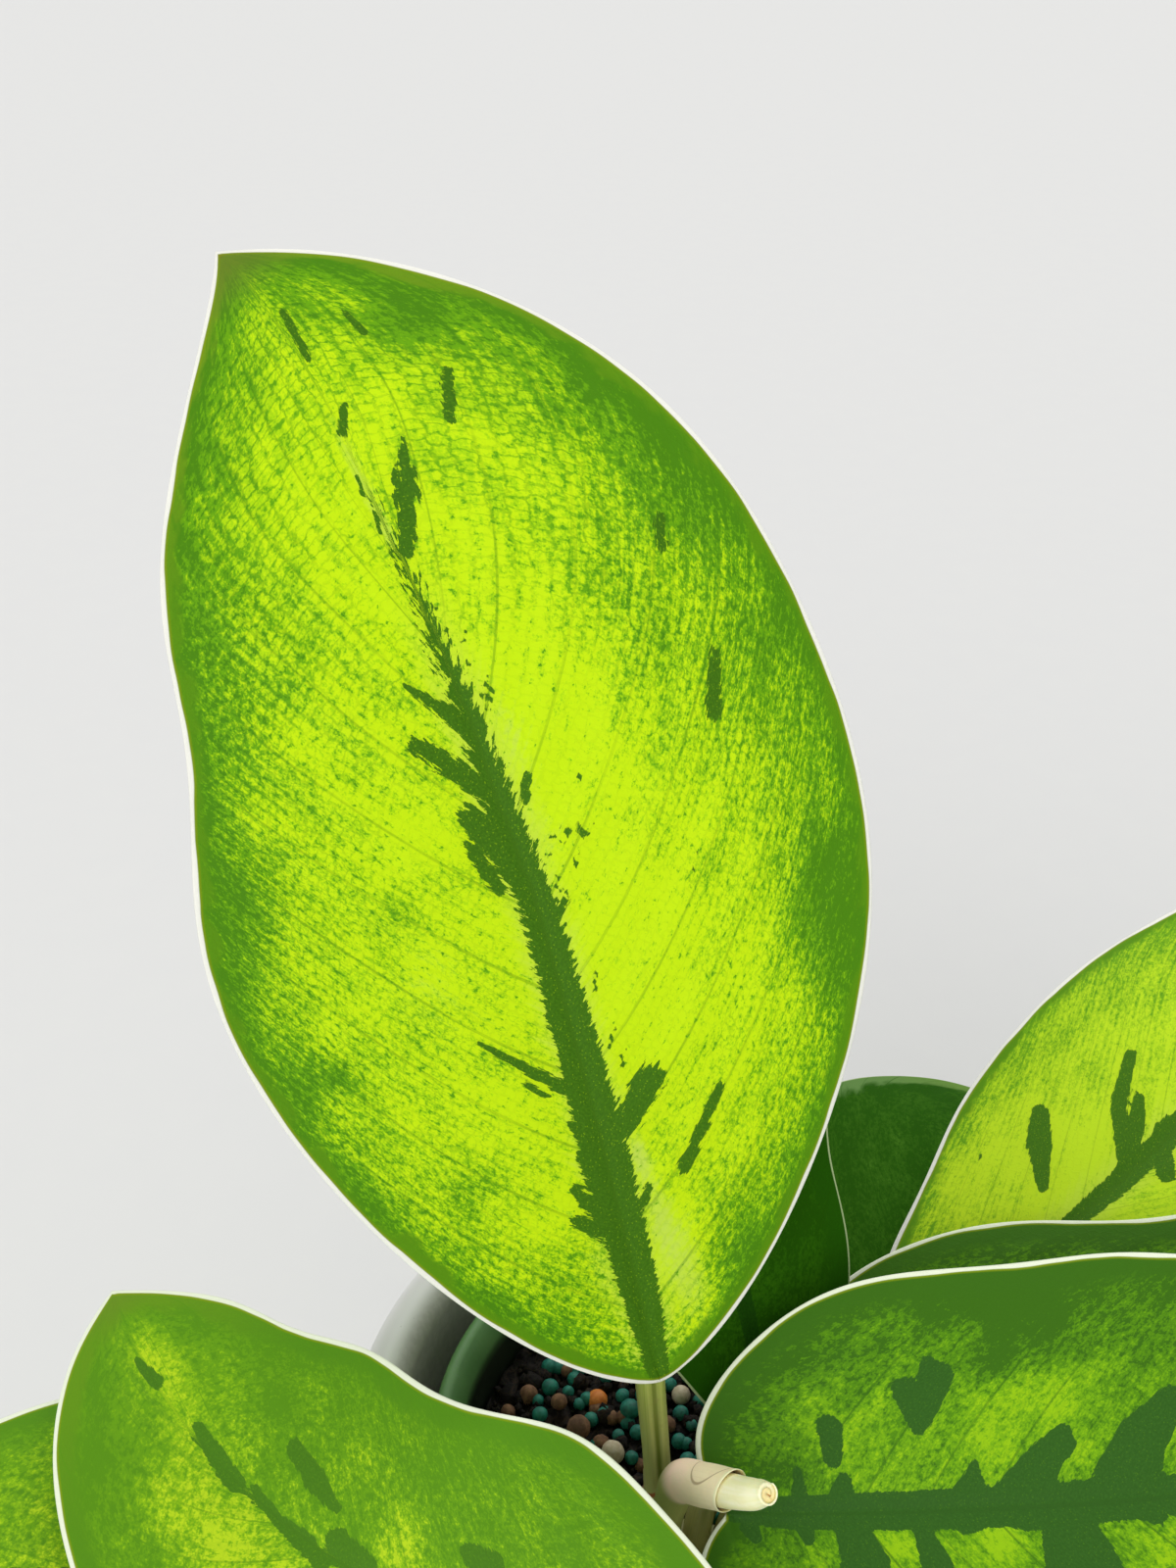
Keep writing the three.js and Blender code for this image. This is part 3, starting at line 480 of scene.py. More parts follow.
def midrib_frame(leaf, s):
    """Direction, side and normal of the midrib at stations s: the turn sideways is sweep times s and
    hook times s to the fourth, the turn down is droop times s and nod times s to the fourth."""
    along, side, up = blade_axes(leaf)
    sweep, hook, droop, nod = leaf["bend"]
    sideways = np.radians(sweep * s + hook * s**4)[..., None]
    down = np.radians(droop * s + nod * s**4)[..., None]
    direction = (np.cos(sideways) * np.cos(down) * along + np.sin(sideways) * np.cos(down) * side
                 - np.sin(down) * up)
    across = -np.sin(sideways) * along + np.cos(sideways) * side
    return direction, across, np.cross(direction, across)


def midrib_path(leaf, s):
    """Places on the midrib: 120 steps of its direction added up from the base."""
    steps = 120
    direction = midrib_frame(leaf, (np.arange(steps) + 0.5) / steps)[0]
    joints = np.asarray(leaf["base"], float) + np.vstack([
        np.zeros(3), np.cumsum(direction * leaf["size"][0] / steps, axis=0)])
    stations = np.arange(steps + 1) / steps
    return np.stack([np.interp(s, stations, joints[:, k]) for k in range(3)], -1)


def half_width(leaf, s, t):
    """Half the blade's width: a power of the way from each end, less a small cusp at the tip, times
    one less each dent's depth times its bell."""
    a, b = leaf["powers"]
    peak = a / (a + b)
    shape = s**a * (1 - s) ** b / (peak**a * (1 - peak) ** b)
    shape = shape * (1 - TIP_CUSP * np.exp(-(1 - s) / TIP_CUSP_REACH))
    half = leaf["size"][1] / 2 * shape * (1 + leaf["skew"] * np.sign(t))
    for side, at, spread, depth in leaf["dents"]:
        half = half * np.where(side * t > 0, 1 - depth * fall(s - at, spread), 1.0)
    return half


def blade_middle(leaf, s, t):
    """The blade's middle surface, s from base to tip and t from the right margin to the left one: the
    midrib, plus half the width times t sideways, plus a gutter that rises with the root of t squared
    and a ripple of the margins upwards, less the lobes that reach back at the base corners."""
    direction, across, normal = midrib_frame(leaf, s)
    half = half_width(leaf, s, t)
    gutter = math.tan(math.radians(leaf["cup"])) * (np.sqrt(t * t + 0.01) - 0.1 - 0.5 * t * t)
    height, waves = leaf["wave"]
    ripple = height * t * t * np.sin(math.pi * s) * np.sin(
        2 * math.pi * (waves * s + np.where(t > 0, 0.1, 0.45)))
    a = leaf["powers"][0]
    back = leaf["lobe"] * (s / LOBE_STATION) ** a * np.exp(a * (1 - s / LOBE_STATION)) * t * t
    point = (midrib_path(leaf, s) + across * (half * t)[..., None]
             + normal * (half * gutter + ripple)[..., None] - direction * back[..., None])
    return point, normal, half


def vein_slope(leaf, station):
    """How far a side vein runs towards the tip for each step outwards: nearly even over the lower half
    of the blade, then growing with a high power of the station."""
    return leaf["slope"] + VEIN_STEEPER * np.maximum(station, 0) ** VEIN_POWER


def side_veins(leaf, s, y):
    """Each side vein runs to the tip by its slope times the distance from the midrib, plus a curl that
    grows with the square of that distance. Beyond the gathering station the distance is measured as a
    share of the narrowing half width, so that the veins meet at the tip. Gives the station where the
    vein through a point leaves the midrib, found by Newton's steps, and the point's place in
    millimetres along its vein and across the veins. The first is the way outwards along the vein
    plus the midrib's way up to it, turned into the vein's direction, so that the two stay square."""
    length, width = leaf["size"]
    side = np.where(y < 0, -1.0, 1.0)
    narrowing = half_width(leaf, np.full_like(s, VEIN_GATHER), side) / half_width(leaf, s, side)
    away = np.abs(y) * np.where(s > VEIN_GATHER, np.maximum(1, narrowing), 1)
    curl = VEIN_CURL * 2 * away / width
    station = s.copy()
    for _ in range(12):
        growth = VEIN_STEEPER * VEIN_POWER * np.maximum(station, 0) ** (VEIN_POWER - 1)
        beyond = station * length + away * (vein_slope(leaf, station) + curl) - s * length
        station = station - beyond / (length + away * growth)
    table = np.linspace(-0.5, 1, 400)
    slope = vein_slope(leaf, table)
    steps = length / np.sqrt(1 + slope**2) * (table[1] - table[0])
    across = np.interp(station, table, np.cumsum(steps))
    onward = np.interp(station, table, np.cumsum(steps * slope))
    along = away * np.sqrt(1 + (vein_slope(leaf, station) + curl) ** 2) + onward
    return station, side * along, across


def splash_distance(leaf, name, s, y):
    """Millimetres from the nearest dark splash, negative inside, and how far its edge is torn. A
    splash is a rounded streak whose half width changes evenly from one end to the other, and wide
    ones are torn more."""
    x = s * leaf["size"][0]
    nearest = np.full(s.shape, 99.0)
    torn = np.full(s.shape, 2.0)
    for start, y0, end, y1, r0, r1 in SPLASHES.get(name, ()):
        x0, x1 = start * leaf["size"][0], end * leaf["size"][0]
        run = np.array([x1 - x0, y1 - y0])
        k = np.clip(((x - x0) * run[0] + (y - y0) * run[1]) / (run @ run), 0, 1)
        radius = r0 + (r1 - r0) * k
        reach = np.hypot(x - x0 - k * run[0], y - y0 - k * run[1]) - radius
        torn = np.where(reach < nearest, np.clip(3 * radius, 0.7, 5), torn)
        nearest = np.minimum(nearest, reach)
    return nearest, torn


def margin_distance(points):
    """Millimetres from each point of the middle surface to the nearest point of the margin."""
    rim = np.concatenate([points[:, 0], points[::-1, -1]])
    rim = np.concatenate([rim[:-1] + (rim[1:] - rim[:-1]) * share for share in (0, 0.25, 0.5, 0.75)])
    flat = points.reshape(-1, 3)
    nearest = np.empty(len(flat))
    for start in range(0, len(flat), 4000):
        block = flat[start:start + 4000]
        square = (block**2).sum(1)[:, None] + (rim**2).sum(1) - 2 * block @ rim.T
        nearest[start:start + 4000] = np.sqrt(np.maximum(square.min(1), 0))
    return nearest.reshape(points.shape[:2])


def blade_relief(leaf, s, t, y):
    """Height of the upper face over the smooth blade: a groove along the midrib, from which y is
    measured, fine grooves along the side veins, and the blade between them puffed up a little."""
    groove = -0.30 * fall(y, 1.1) * (1 - s) ** 0.5
    phase = side_veins(leaf, s, y)[0] * MAIN_VEINS
    off = np.abs(phase - np.round(phase))
    inner = (smoothstep(np.abs(t), 0.02, 0.12) * smoothstep(1 - np.abs(t), 0.0, 0.25)
             * smoothstep(1 - s, 0.02, 0.2))
    puff = 0.22 * np.cos(math.pi * off) ** 2
    return groove + inner * (puff - 0.10 * fall(off * leaf["size"][0] / MAIN_VEINS, 0.5))


def patches(rows, leaf, s, y):
    """The sum of bells of each patch's amount round its middle."""
    total = np.zeros_like(s)
    for at, across, reach, spread, amount in rows:
        away = np.hypot((s - at) * leaf["size"][0] / reach, (y - across) / spread)
        total = total + amount * fall(away, 1.0)
    return total


def blade_wash(name, leaf, s, y, edge):
    """How densely the darker green lies: a share over the whole blade, more at the margin that fades
    inwards by an exponential, and bells of more or less round the patches."""
    overall, margin, low, high = WASH_BANDS[name]
    band = low + (high - low) * smoothstep(s, 0.1, 0.75)
    return overall + margin * np.exp(-edge / band) + patches(WASHES.get(name, ()), leaf, s, y)


def columns_across(middle, flank):
    """Values of t from margin to margin, close together at the midrib and at the margins."""
    half = np.concatenate([
        np.linspace(0, 0.11, middle), np.linspace(0.11, 0.94, flank)[1:],
        [0.958, 0.972, 0.983, 0.990, 0.995, 0.998, 1.0]])
    return np.concatenate([-half[:0:-1], half])


def blade(name, finish, slot, rows=120, middle=6, flank=22):
    """A closed blade. Its cross-section is a loop: the upper face from margin to margin, then the
    lower face back, half the thickness each side of the middle surface, rounded off at the margins,
    with the midrib's round ridge below."""
    leaf = LEAVES[name]
    turn = 0.5 - 0.5 * np.cos(np.linspace(0, math.pi, rows))
    first, last = 0.0008, 0.9985
    stations = first + (last - first) * (0.65 * turn + 0.35 * np.linspace(0, 1, rows))
    s, t = np.meshgrid(stations, columns_across(middle, flank), indexing="ij")
    point, normal, half = blade_middle(leaf, s, t)
    y = half * t
    edge = margin_distance(point)
    line = y - np.interp(s, *DRIFTS.get(name, NO_DRIFT)) * (1 - np.abs(t))
    relief = blade_relief(leaf, s, t, line)
    rounding = MARGIN_THICKNESS / 2
    inward = np.clip(half * (1 - np.abs(t)) / rounding, 0, 1)
    thick = (MARGIN_THICKNESS + (BLADE_THICKNESS - MARGIN_THICKNESS) * fall(t, 0.5)) / 2
    thick = thick * np.sqrt(1 - (1 - inward) ** 2)
    rib = leaf["radii"][0] * 0.8 * (1 - stations[:, None]) ** 0.8
    ridge = rib * fall(y, 0.8 * rib + 0.1) * smoothstep(s, 0.0, 0.01)
    upper = point + normal * (thick + relief)[..., None]
    lower = point - normal * (thick + ridge - np.minimum(relief, 0.12) * 0.6)[..., None]
    rings = np.concatenate([upper, lower[:, -2:0:-1]], axis=1) * MM

    def looped(grid, under=None):
        """Values for the whole loop: the upper face's, then back over the lower face."""
        back = grid if under is None else under
        return np.concatenate([grid, back[:, -2:0:-1]], axis=1)

    stain = np.abs(line) - np.interp(s, *STAINS.get(name, PLAIN_STAIN))
    splash, torn = splash_distance(leaf, name, s, y)
    torn = np.where(stain < splash, np.interp(s, *STAIN_TORN), torn)
    dark = np.minimum(stain, splash)
    station, along, across = side_veins(leaf, s, line)
    veins = np.stack([along, across], -1) / 100
    fields = {
        "edge": looped(edge), "dark": looped(dark), "torn": looped(torn), "along": looped(s),
        "beside": looped(np.abs(line)), "wash": looped(blade_wash(name, leaf, s, y, edge)),
        "vein": looped(station * MAIN_VEINS), "bleach": looped(patches(PALES.get(name, ()), leaf, s, y)),
        "under": looped(np.zeros_like(s), np.ones_like(s)),
    }
    piece = closed_loft(name + "_skin", rings, uv=looped(veins), fields=fields)
    dress(piece, finish, slot, name + "_blade")


def coat(piece, finish):
    """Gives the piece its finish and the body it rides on."""
    piece.data.materials.append(finish.material)
    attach(piece, "root")


def dress(piece, finish, slot, *nodes):
    """Coats the piece and hides the CAD nodes it stands for."""
    coat(piece, finish)
    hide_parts(*nodes)


def blade_finish(name, look):
    """Variegated blade. The wash field, broken up by blotches, streaks, specks and clots, is cut into
    four tones from the bright ground to solid green, and a pale halo beside the midrib and the
    bleached patches lighten the brightest two. Over them lie the fine net of veins, the greener
    margin, thin side veins, frayed dark splashes with pale dots, and the browned tip. The underside
    is duller. Last comes the cream rim, with a thin olive line inside it that the ground shades into:
    a pale margin, made lighter still as a painted highlight of the thick edge catching the light.
    Some light comes through the blade, tinted except in the rim."""
    f = Finish(name)
    veins = f.flat()
    edge, dark, along, beside = f.field("edge"), f.field("dark"), f.field("along"), f.field("beside")

    blotch = f.noise(f.stretch(veins, 10, 16), 1.0, 3.0, 0.6)
    speck = f.noise(f.stretch(veins, 70, 105), 1.0, 3.0, 0.65)
    streak = f.noise(f.stretch(veins, 4, 130), 1.0, 3.0, 0.6)
    grain = f.noise(f.stretch(veins, 200, 300), 1.0, 2.0, 0.6)
    warped = f.warp(f.warp(veins, 50, 0.022), 260, 0.007)
    net, smudge = (f.add("ShaderNodeTexBrick", "Fac", {
        "Vector": warped, "Scale": 100.0, "Mortar Size": width, "Mortar Smooth": softness,
        "Brick Width": 1.7, "Row Height": 1.8}) for width, softness in ((0.26, 0.8), (0.5, 1.0)))

    def swing(value, amount):
        """A noise of mean one half, turned into up to half of amount each way."""
        return f.math("MULTIPLY", f.math("SUBTRACT", value, 0.5), amount)

    wash = f.field("wash")
    specked = f.math("ADD", swing(speck, look["specks"]), swing(grain, 0.7 * look["specks"]))
    density = f.math("ADD", wash, f.math("MULTIPLY", specked, f.ramp(along, 0.60, 0.80, 1.0, 0.6)))
    density = f.math("ADD", density, swing(blotch, look["blotches"]))
    density = f.math("ADD", density, swing(streak, look["lines"]))
    meshed = f.ramp(f.math("ADD", wash, swing(blotch, 1.2)), -0.05, 0.30, 0.2 * look["net"], look["net"])
    thinned = f.math("MULTIPLY", f.ramp(wash, 0.40, 0.75, 1.0, 0.4), f.ramp(speck, 0.38, 0.58, 0.6, 1.0))
    meshed = f.math("MULTIPLY", meshed, thinned)
    meshed = f.math("MULTIPLY", meshed, f.ramp(along, 0.5, 0.78, 0.9, 1.4))
    clots = f.ramp(f.math("ADD", speck, f.math("MULTIPLY", wash, 0.1)), 0.60, 0.68)
    clotted = f.math("MULTIPLY", smudge, clots)
    density = f.math("ADD", density, f.math("MULTIPLY", clotted, look["clots"]))
    halo = f.math("ADD", beside, swing(streak, 8.0))
    halo = f.math("MULTIPLY", f.ramp(halo, 6.0, 1.5), f.ramp(along, 0.7, 0.5, 0.0, look["halo"]))
    bleach = f.math("ADD", f.field("bleach"), f.math("ADD", swing(streak, 0.8), swing(speck, 0.8)))
    halo = f.math("MAXIMUM", halo, f.ramp(bleach, 0.1, 0.8))
    density = f.math("SUBTRACT", density, f.math("MULTIPLY", halo, 0.15))
    palest = f.mix(halo, look["ground"], look["pale"])
    middling = f.mix(f.math("MULTIPLY", halo, 0.6), look["mid"], look["pale"])
    colour = f.mix(f.ramp(density, 0.05, 0.36), palest, middling)
    colour = f.mix(f.ramp(density, 0.36, 0.66), colour, look["speck"])
    colour = f.mix(f.ramp(density, 0.74, 1.00), colour, look["solid"])
    netted = f.mix(f.ramp(wash, 0.2, 0.7), look["speck"], look["solid"])
    colour = f.mix(f.math("MULTIPLY", net, meshed), colour, netted)
    band = f.math("ADD", edge, swing(blotch, 9.0))
    margin = f.mix(f.ramp(along, 0.65, 0.95, 0.0, look["tip"]), look["margin"], linear(124, 162, 24))
    colour = f.mix(f.ramp(band, look["band"], 0.4 * look["band"]), colour, margin)

    between = f.math("FRACT", f.math("ADD", f.field("vein"), 8.5))
    from_vein = f.math("ABSOLUTE", f.math("SUBTRACT", between, 0.5))
    shown = f.ramp(streak, 0.35, 0.6, 0.15, look["veins"])
    vein_line = f.math("MULTIPLY", f.ramp(from_vein, 0.032, 0.010), shown)
    colour = f.mix(vein_line, colour, look["solid"])

    fray = f.math("SUBTRACT", f.noise(f.stretch(veins, 34, 165), 1.0, 4.0, 0.65), 0.5)
    ragged = f.math("ADD", dark, f.math("MULTIPLY", fray, f.math("MULTIPLY", f.field("torn"), look["fray"])))
    dots = f.ramp(f.cells(f.stretch(veins, 210, 170), 1.0), 0.26, 0.10, 0.0, look["dots"])
    deep = f.mix(f.ramp(grain, 0.35, 0.75), look["dark"], look["dark_pale"])
    deep = f.mix(dots, deep, look["mid"])
    colour = f.mix(f.ramp(ragged, 0.07, -0.07), colour, deep)
    colour = f.mix(f.ramp(along, 0.93, 0.985, 0.0, look["tip"]), colour, linear(112, 136, 40))
    colour = f.mix(f.ramp(along, 0.988, 0.995, 0.0, look["tip"]), colour, linear(128, 92, 48))

    colour = f.mix(f.field("under"), colour, f.mix(0.45, colour, look["underside"]))
    uneven = f.noise(f.stretch(veins, 9, 9), 1.0, 1.0)
    rim_width = f.ramp(uneven, 0.3, 0.7, look["rim"] * 0.8, look["rim"] * 1.15)
    past_rim = f.math("SUBTRACT", edge, rim_width)
    rimmed = f.ramp(past_rim, 0.10, -0.10)
    colour = f.mix(f.ramp(past_rim, 0.50, 0.15, 0.0, look["rim_line"]), colour, look["olive"])
    # The cream rim is partly painted highlight: the pale margin is made lighter where its thick edge catches
    # the light.
    colour = f.mix(rimmed, colour, look["cream"])

    f.set(Base_Color=colour, Roughness=f.ramp(grain, 0.3, 0.7, look["gloss"], look["gloss"] + 0.1))
    f.set(Specular_IOR_Level=look["shine"])
    pores = f.math("SUBTRACT", f.math("MULTIPLY", grain, 0.5), f.math("MULTIPLY", net, 0.35))
    normal = f.bump(pores, 0.10, 0.4)
    tinted = f.math("MULTIPLY", f.math("SUBTRACT", 1.0, rimmed), 0.35)
    through = f.mix(tinted, colour, look["through"], "MULTIPLY")
    lit = f.add("ShaderNodeBsdfTranslucent", "BSDF", {"Color": through, "Normal": normal})
    both = f.add("ShaderNodeMixShader", 0, {0: look["sheer"], 1: f.shader.outputs[0], 2: lit})
    f.links.new(both, f.output.inputs["Surface"])
    return f


def toned(base=None, **changes):
    """A blade's look: the tones of another one, with the given ones changed (screen colours as
    triples)."""
    tones = {key: linear(*value) if isinstance(value, tuple) else value for key, value in changes.items()}
    return {**(base or {}), **tones}


# In each look, cream is the rim's tone: a pale margin lightened by a painted edge highlight.
BRIGHT = toned(
    ground=(217, 247, 8), mid=(184, 228, 8), speck=(116, 180, 8), solid=(84, 146, 8), margin=(98, 154, 8),
    pale=(212, 236, 92), dark=(66, 116, 8), dark_pale=(82, 134, 16), underside=(176, 208, 92),
    cream=(254, 252, 246), olive=(142, 158, 10), through=(214, 255, 40), rim=0.75, rim_line=0.7,
    specks=2.0, blotches=1.1, lines=1.0, net=0.65, clots=0.5, fray=1.0, band=3.2, halo=0.5, veins=0.45,
    dots=0.4, tip=0.8, gloss=0.52, shine=0.15, sheer=0.33)
MARBLED = toned(
    BRIGHT, ground=(150, 198, 12), mid=(118, 174, 12), speck=(86, 142, 12), solid=(60, 110, 14),
    margin=(60, 110, 16), pale=(160, 204, 40), dark=(48, 94, 24), dark_pale=(56, 104, 30),
    underside=(140, 180, 90), cream=(240, 246, 222), through=(190, 255, 50), rim=0.78,
    specks=1.5, blotches=1.5, lines=0.4, net=0.35, clots=0.3, fray=0.3, band=6.0, halo=0.1, veins=0.7,
    dots=0.2, tip=0.4, gloss=0.5, shine=0.12, sheer=0.16)
FRESH = toned(
    MARBLED, ground=(186, 218, 30), mid=(138, 188, 18), speck=(104, 160, 18), solid=(90, 146, 18),
    margin=(86, 142, 20), dark=(72, 122, 22), dark_pale=(80, 132, 24), specks=1.9, blotches=1.2, fray=0.5,
    rim=0.85)
SOFT = toned(
    BRIGHT, ground=(208, 238, 34), mid=(180, 220, 26), speck=(122, 180, 18), solid=(92, 150, 14),
    pale=(214, 236, 110), specks=1.5, lines=1.2, net=0.25, clots=0.1, fray=0.35, halo=0.2, veins=0.3)
PLAIN = toned(
    MARBLED, ground=(62, 118, 10), mid=(54, 108, 8), speck=(46, 98, 8), solid=(36, 84, 4), margin=(36, 86, 6),
    pale=(80, 130, 30), dark=(28, 72, 8), dark_pale=(36, 82, 12), underside=(120, 165, 80),
    cream=(178, 196, 144), rim_line=0.0, rim=0.4, gloss=0.7, shine=0.03)
# Plain green with painted sheen: the greyer, lighter tones and the pale grey-green band along the margin
# stand in for the sky's reflection on the curved blade and its top edge.
PAINTED_SHEEN = toned(
    PLAIN, ground=(76, 126, 34), mid=(68, 118, 28), speck=(54, 104, 18), solid=(42, 92, 10),
    margin=(106, 144, 78), band=5.0)


# Stalks


def bezier(p0, p1, p2, p3, u):
    """A cubic curve through its two end points, pulled towards the two between them."""
    k = u[:, None]
    return (1 - k) ** 3 * p0 + 3 * (1 - k) ** 2 * k * p1 + 3 * (1 - k) * k * k * p2 + k**3 * p3


def even_path(points, count):
    """The polyline's points at even steps of its length."""
    run = np.concatenate([[0], np.cumsum(np.linalg.norm(np.diff(points, axis=0), axis=1))])
    at = np.linspace(0, run[-1], count)
    return np.stack([np.interp(at, run, points[:, k]) for k in range(3)], -1), run[-1]


def carried_frame(path, reference):
    """Two directions square to the path at each point, the first kept as near to the reference as the
    path allows."""
    tangent = unit(np.gradient(path, axis=0))
    first = unit(reference - (tangent @ reference)[:, None] * tangent)
    return tangent, first, np.cross(tangent, first)


def stalk_path(leaf):
    """The stalk's middle line: straight up from its seat, then over to the blade's base."""
    start = np.array([*leaf["seat"], CROWN_TOP + CLEARANCE])
    point = blade_middle(leaf, np.array([STALK_INSET]), np.array([0.0]))[0][0]
    up = blade_axes(leaf)[2]
    arriving = unit(point - start)
    slant = math.sqrt(max(0.0, 1 - float(arriving @ up) ** 2))
    end = point - up * (BLADE_THICKNESS / 2 + CLEARANCE + 1.08 * leaf["radii"][0] * slant)
    reach = float(np.linalg.norm(end - start))
    lift = start + np.array([0, 0, 0.42 * reach])
    line = bezier(start, lift, end - 0.3 * reach * arriving, end, np.linspace(0, 1, 200))
    return even_path(line, 90)


def stalk(name, finish, columns=40):
    """A grooved stalk: its radius is the stalk's, widened to the sheath's below, less a channel down
    the side that faces the blade's upper face, plus the free edge of the sheath, which ends in a V.
    The top runs on under the blade and thins into the midrib's ridge."""
    leaf = LEAVES[name]
    path, length = stalk_path(leaf)
    up = blade_axes(leaf)[2]
    tail, tail_length = 9, 5.0
    share = np.concatenate([[0.0], np.linspace(0.1, 1, tail)])
    under_blade = STALK_INSET + tail_length * share / leaf["size"][0]
    middle, outwards, _ = blade_middle(leaf, under_blade, np.zeros(tail + 1))
    drop = np.linalg.norm(path[-1] - middle[0]) - BLADE_THICKNESS / 2
    onward = (middle - outwards * (BLADE_THICKNESS / 2 + drop * (1 - 0.75 * share))[:, None])[1:]
    path = np.concatenate([path, onward])
    u = np.concatenate([np.linspace(0, 1, len(path) - tail), np.linspace(1.01, 1.1, tail)])
    chord = unit(path[-1] - path[0])
    front = unit(up - (up @ chord) * chord + np.array([0.0, -0.25, 0.05]))
    _, first, second = carried_frame(path, front)
    angle = np.linspace(0, 2 * math.pi, columns, endpoint=False)
    u2, angle2 = np.meshgrid(u, angle, indexing="ij")
    from_front = np.abs((angle2 + math.pi) % (2 * math.pi) - math.pi)
    thin, wide = leaf["radii"]
    radius = thin + (wide - thin) * smoothstep(0.45 - u2, 0, 0.45)
    sheath_top = 0.42 - 0.10 * from_front / math.pi
    sheath = smoothstep(sheath_top - u2, -0.004, 0.006)
    channel = 0.26 * fall(from_front, 0.30) * smoothstep(u2, 0.05, 0.5)
    shoulders = 0.07 * fall(from_front - 0.62, 0.26) * smoothstep(u2, 0.05, 0.5)
    radius = radius * (1 - channel + shoulders) + 0.22 * sheath
    fitting = min(1.0, drop / (1.03 * thin))
    radius = radius * (1 - (1 - fitting) * smoothstep(u2, 0.94, 1.0)) * (1 - 0.75 * smoothstep(u2, 1.0, 1.1))
    rings = (path[:, None] + first[:, None] * (radius * np.cos(angle2))[..., None]
             + second[:, None] * (radius * np.sin(angle2))[..., None]) * MM
    uv = np.stack([u2 * length / 100, angle2 / (2 * math.pi)], -1)
    uv[..., 1] = np.abs(uv[..., 1] - 0.5)
    fields = {"sheath": (sheath_top - u2) * length, "front": from_front, "along": u2}
    piece = closed_loft(name + "_petiole", rings, uv=uv, fields=fields)
    dress(piece, finish, "stalk_green", name + "_stalk")


def stalk_finish():
    """Fleshy pale olive stalk: fine lengthwise lines, paler low down, darker in its channel, and a
    rusty line along the edge of the sheath."""
    f = Finish("stalk_flesh")
    lines = f.noise(f.stretch(f.flat(), 2.2, 46), 1.0, 3.0, 0.6)
    mottle = f.noise(f.object(), 420, 3.0, 0.6)
    along = f.field("along")
    colour = f.mix(f.ramp(lines, 0.35, 0.68), linear(140, 154, 62), linear(172, 180, 92))
    colour = f.mix(f.ramp(along, 0.95, 0.35), colour, f.mix(0.6, colour, linear(196, 188, 132)))
    channel = f.math("MULTIPLY", f.ramp(f.field("front"), 0.34, 0.08), f.ramp(along, 0.2, 0.5))
    colour = f.mix(channel, colour, linear(112, 124, 44))
    colour = f.mix(f.ramp(mottle, 0.58, 0.80, 0.0, 0.5), colour, linear(132, 128, 70))
    line = f.math("ABSOLUTE", f.math("ADD", f.field("sheath"), f.math("MULTIPLY", mottle, 0.5)))
    colour = f.mix(f.ramp(line, 0.75, 0.15), colour, linear(168, 96, 52))
    f.set(Base_Color=colour, Roughness=f.ramp(lines, 0.3, 0.7, 0.38, 0.5), Specular_IOR_Level=0.4)
    f.set(Subsurface_Weight=0.15, Subsurface_Radius=(0.002, 0.002, 0.0008))
    f.bump(f.math("ADD", lines, f.math("MULTIPLY", mottle, 0.4)), 0.15, 0.5)
    return f


# Flower bud

BUD_POINTS = np.array([
    (-9.2, -27.8, 101.3), (-9.2, -27.8, 115), (-8.5, -27, 127), (-6.9, -27.6, 134.2), (-3.6, -31.3, 138.8),
    (2, -38, 146.8), (4.6, -41.1, 151.3)])
SLEEVE_END = 0.87
SLEEVE_WALL = 0.3
SPATHE_GAP = 0.12
SPATHE_START = 0.6
MOUTH_SLANT = np.array([0.15, -0.25, -0.5])
MOUTH_SET_BACK = 2.7


def centripetal_curve(points, each):
    """A smooth curve through all points, whose knots are spaced by the root of the distance between
    neighbours, by repeated blending of straight lines between knots."""
    start = 2 * points[0] - points[1]
    end = 2 * points[-1] - points[-2]
    p = np.vstack([start, points, end])
    pieces = []
    for i in range(1, len(p) - 2):
        knots = [0.0]
        for a, b in zip(p[i - 1:i + 2], p[i:i + 3]):
            knots.append(knots[-1] + math.sqrt(float(np.linalg.norm(b - a))))
        t = np.linspace(knots[1], knots[2], each, endpoint=False)[:, None]
        level = list(p[i - 1:i + 3])
        for low, high in ((0, 1), (0, 2), (1, 2)):
            level = [
                ((knots[k + high] - t) * level[k] + (t - knots[k + low]) * level[k + 1])
                / (knots[k + high] - knots[k + low]) for k in range(len(level) - 1)]
        pieces.append(level[0])
    return np.vstack(pieces + [points[-1:]])


def bud_radius(u):
    """The bud's outer radius along its path: thin stalk, swollen sleeve, tapering tip."""
    return 2.4 + 0.95 * smoothstep(u, 0.35, 0.6) - 0.6 * smoothstep(u, 0.7, 1.0)


def bud_surface(u, angle, radius):
    """Points at a radius round the bud's path, at share u of its length."""
    path, _ = even_path(centripetal_curve(BUD_POINTS, 60), 400)
    tangent, first, second = carried_frame(path, np.array([0.45, -0.75, 0.5]))
    share = np.linspace(0, 1, len(path))

    def at(values):
        """The path's values at the shares asked for."""
        return np.stack([np.interp(u, share, values[:, k]) for k in range(3)], -1)

    return (at(path) + at(first) * (radius * np.cos(angle))[..., None]
            + at(second) * (radius * np.sin(angle))[..., None]), at(tangent)


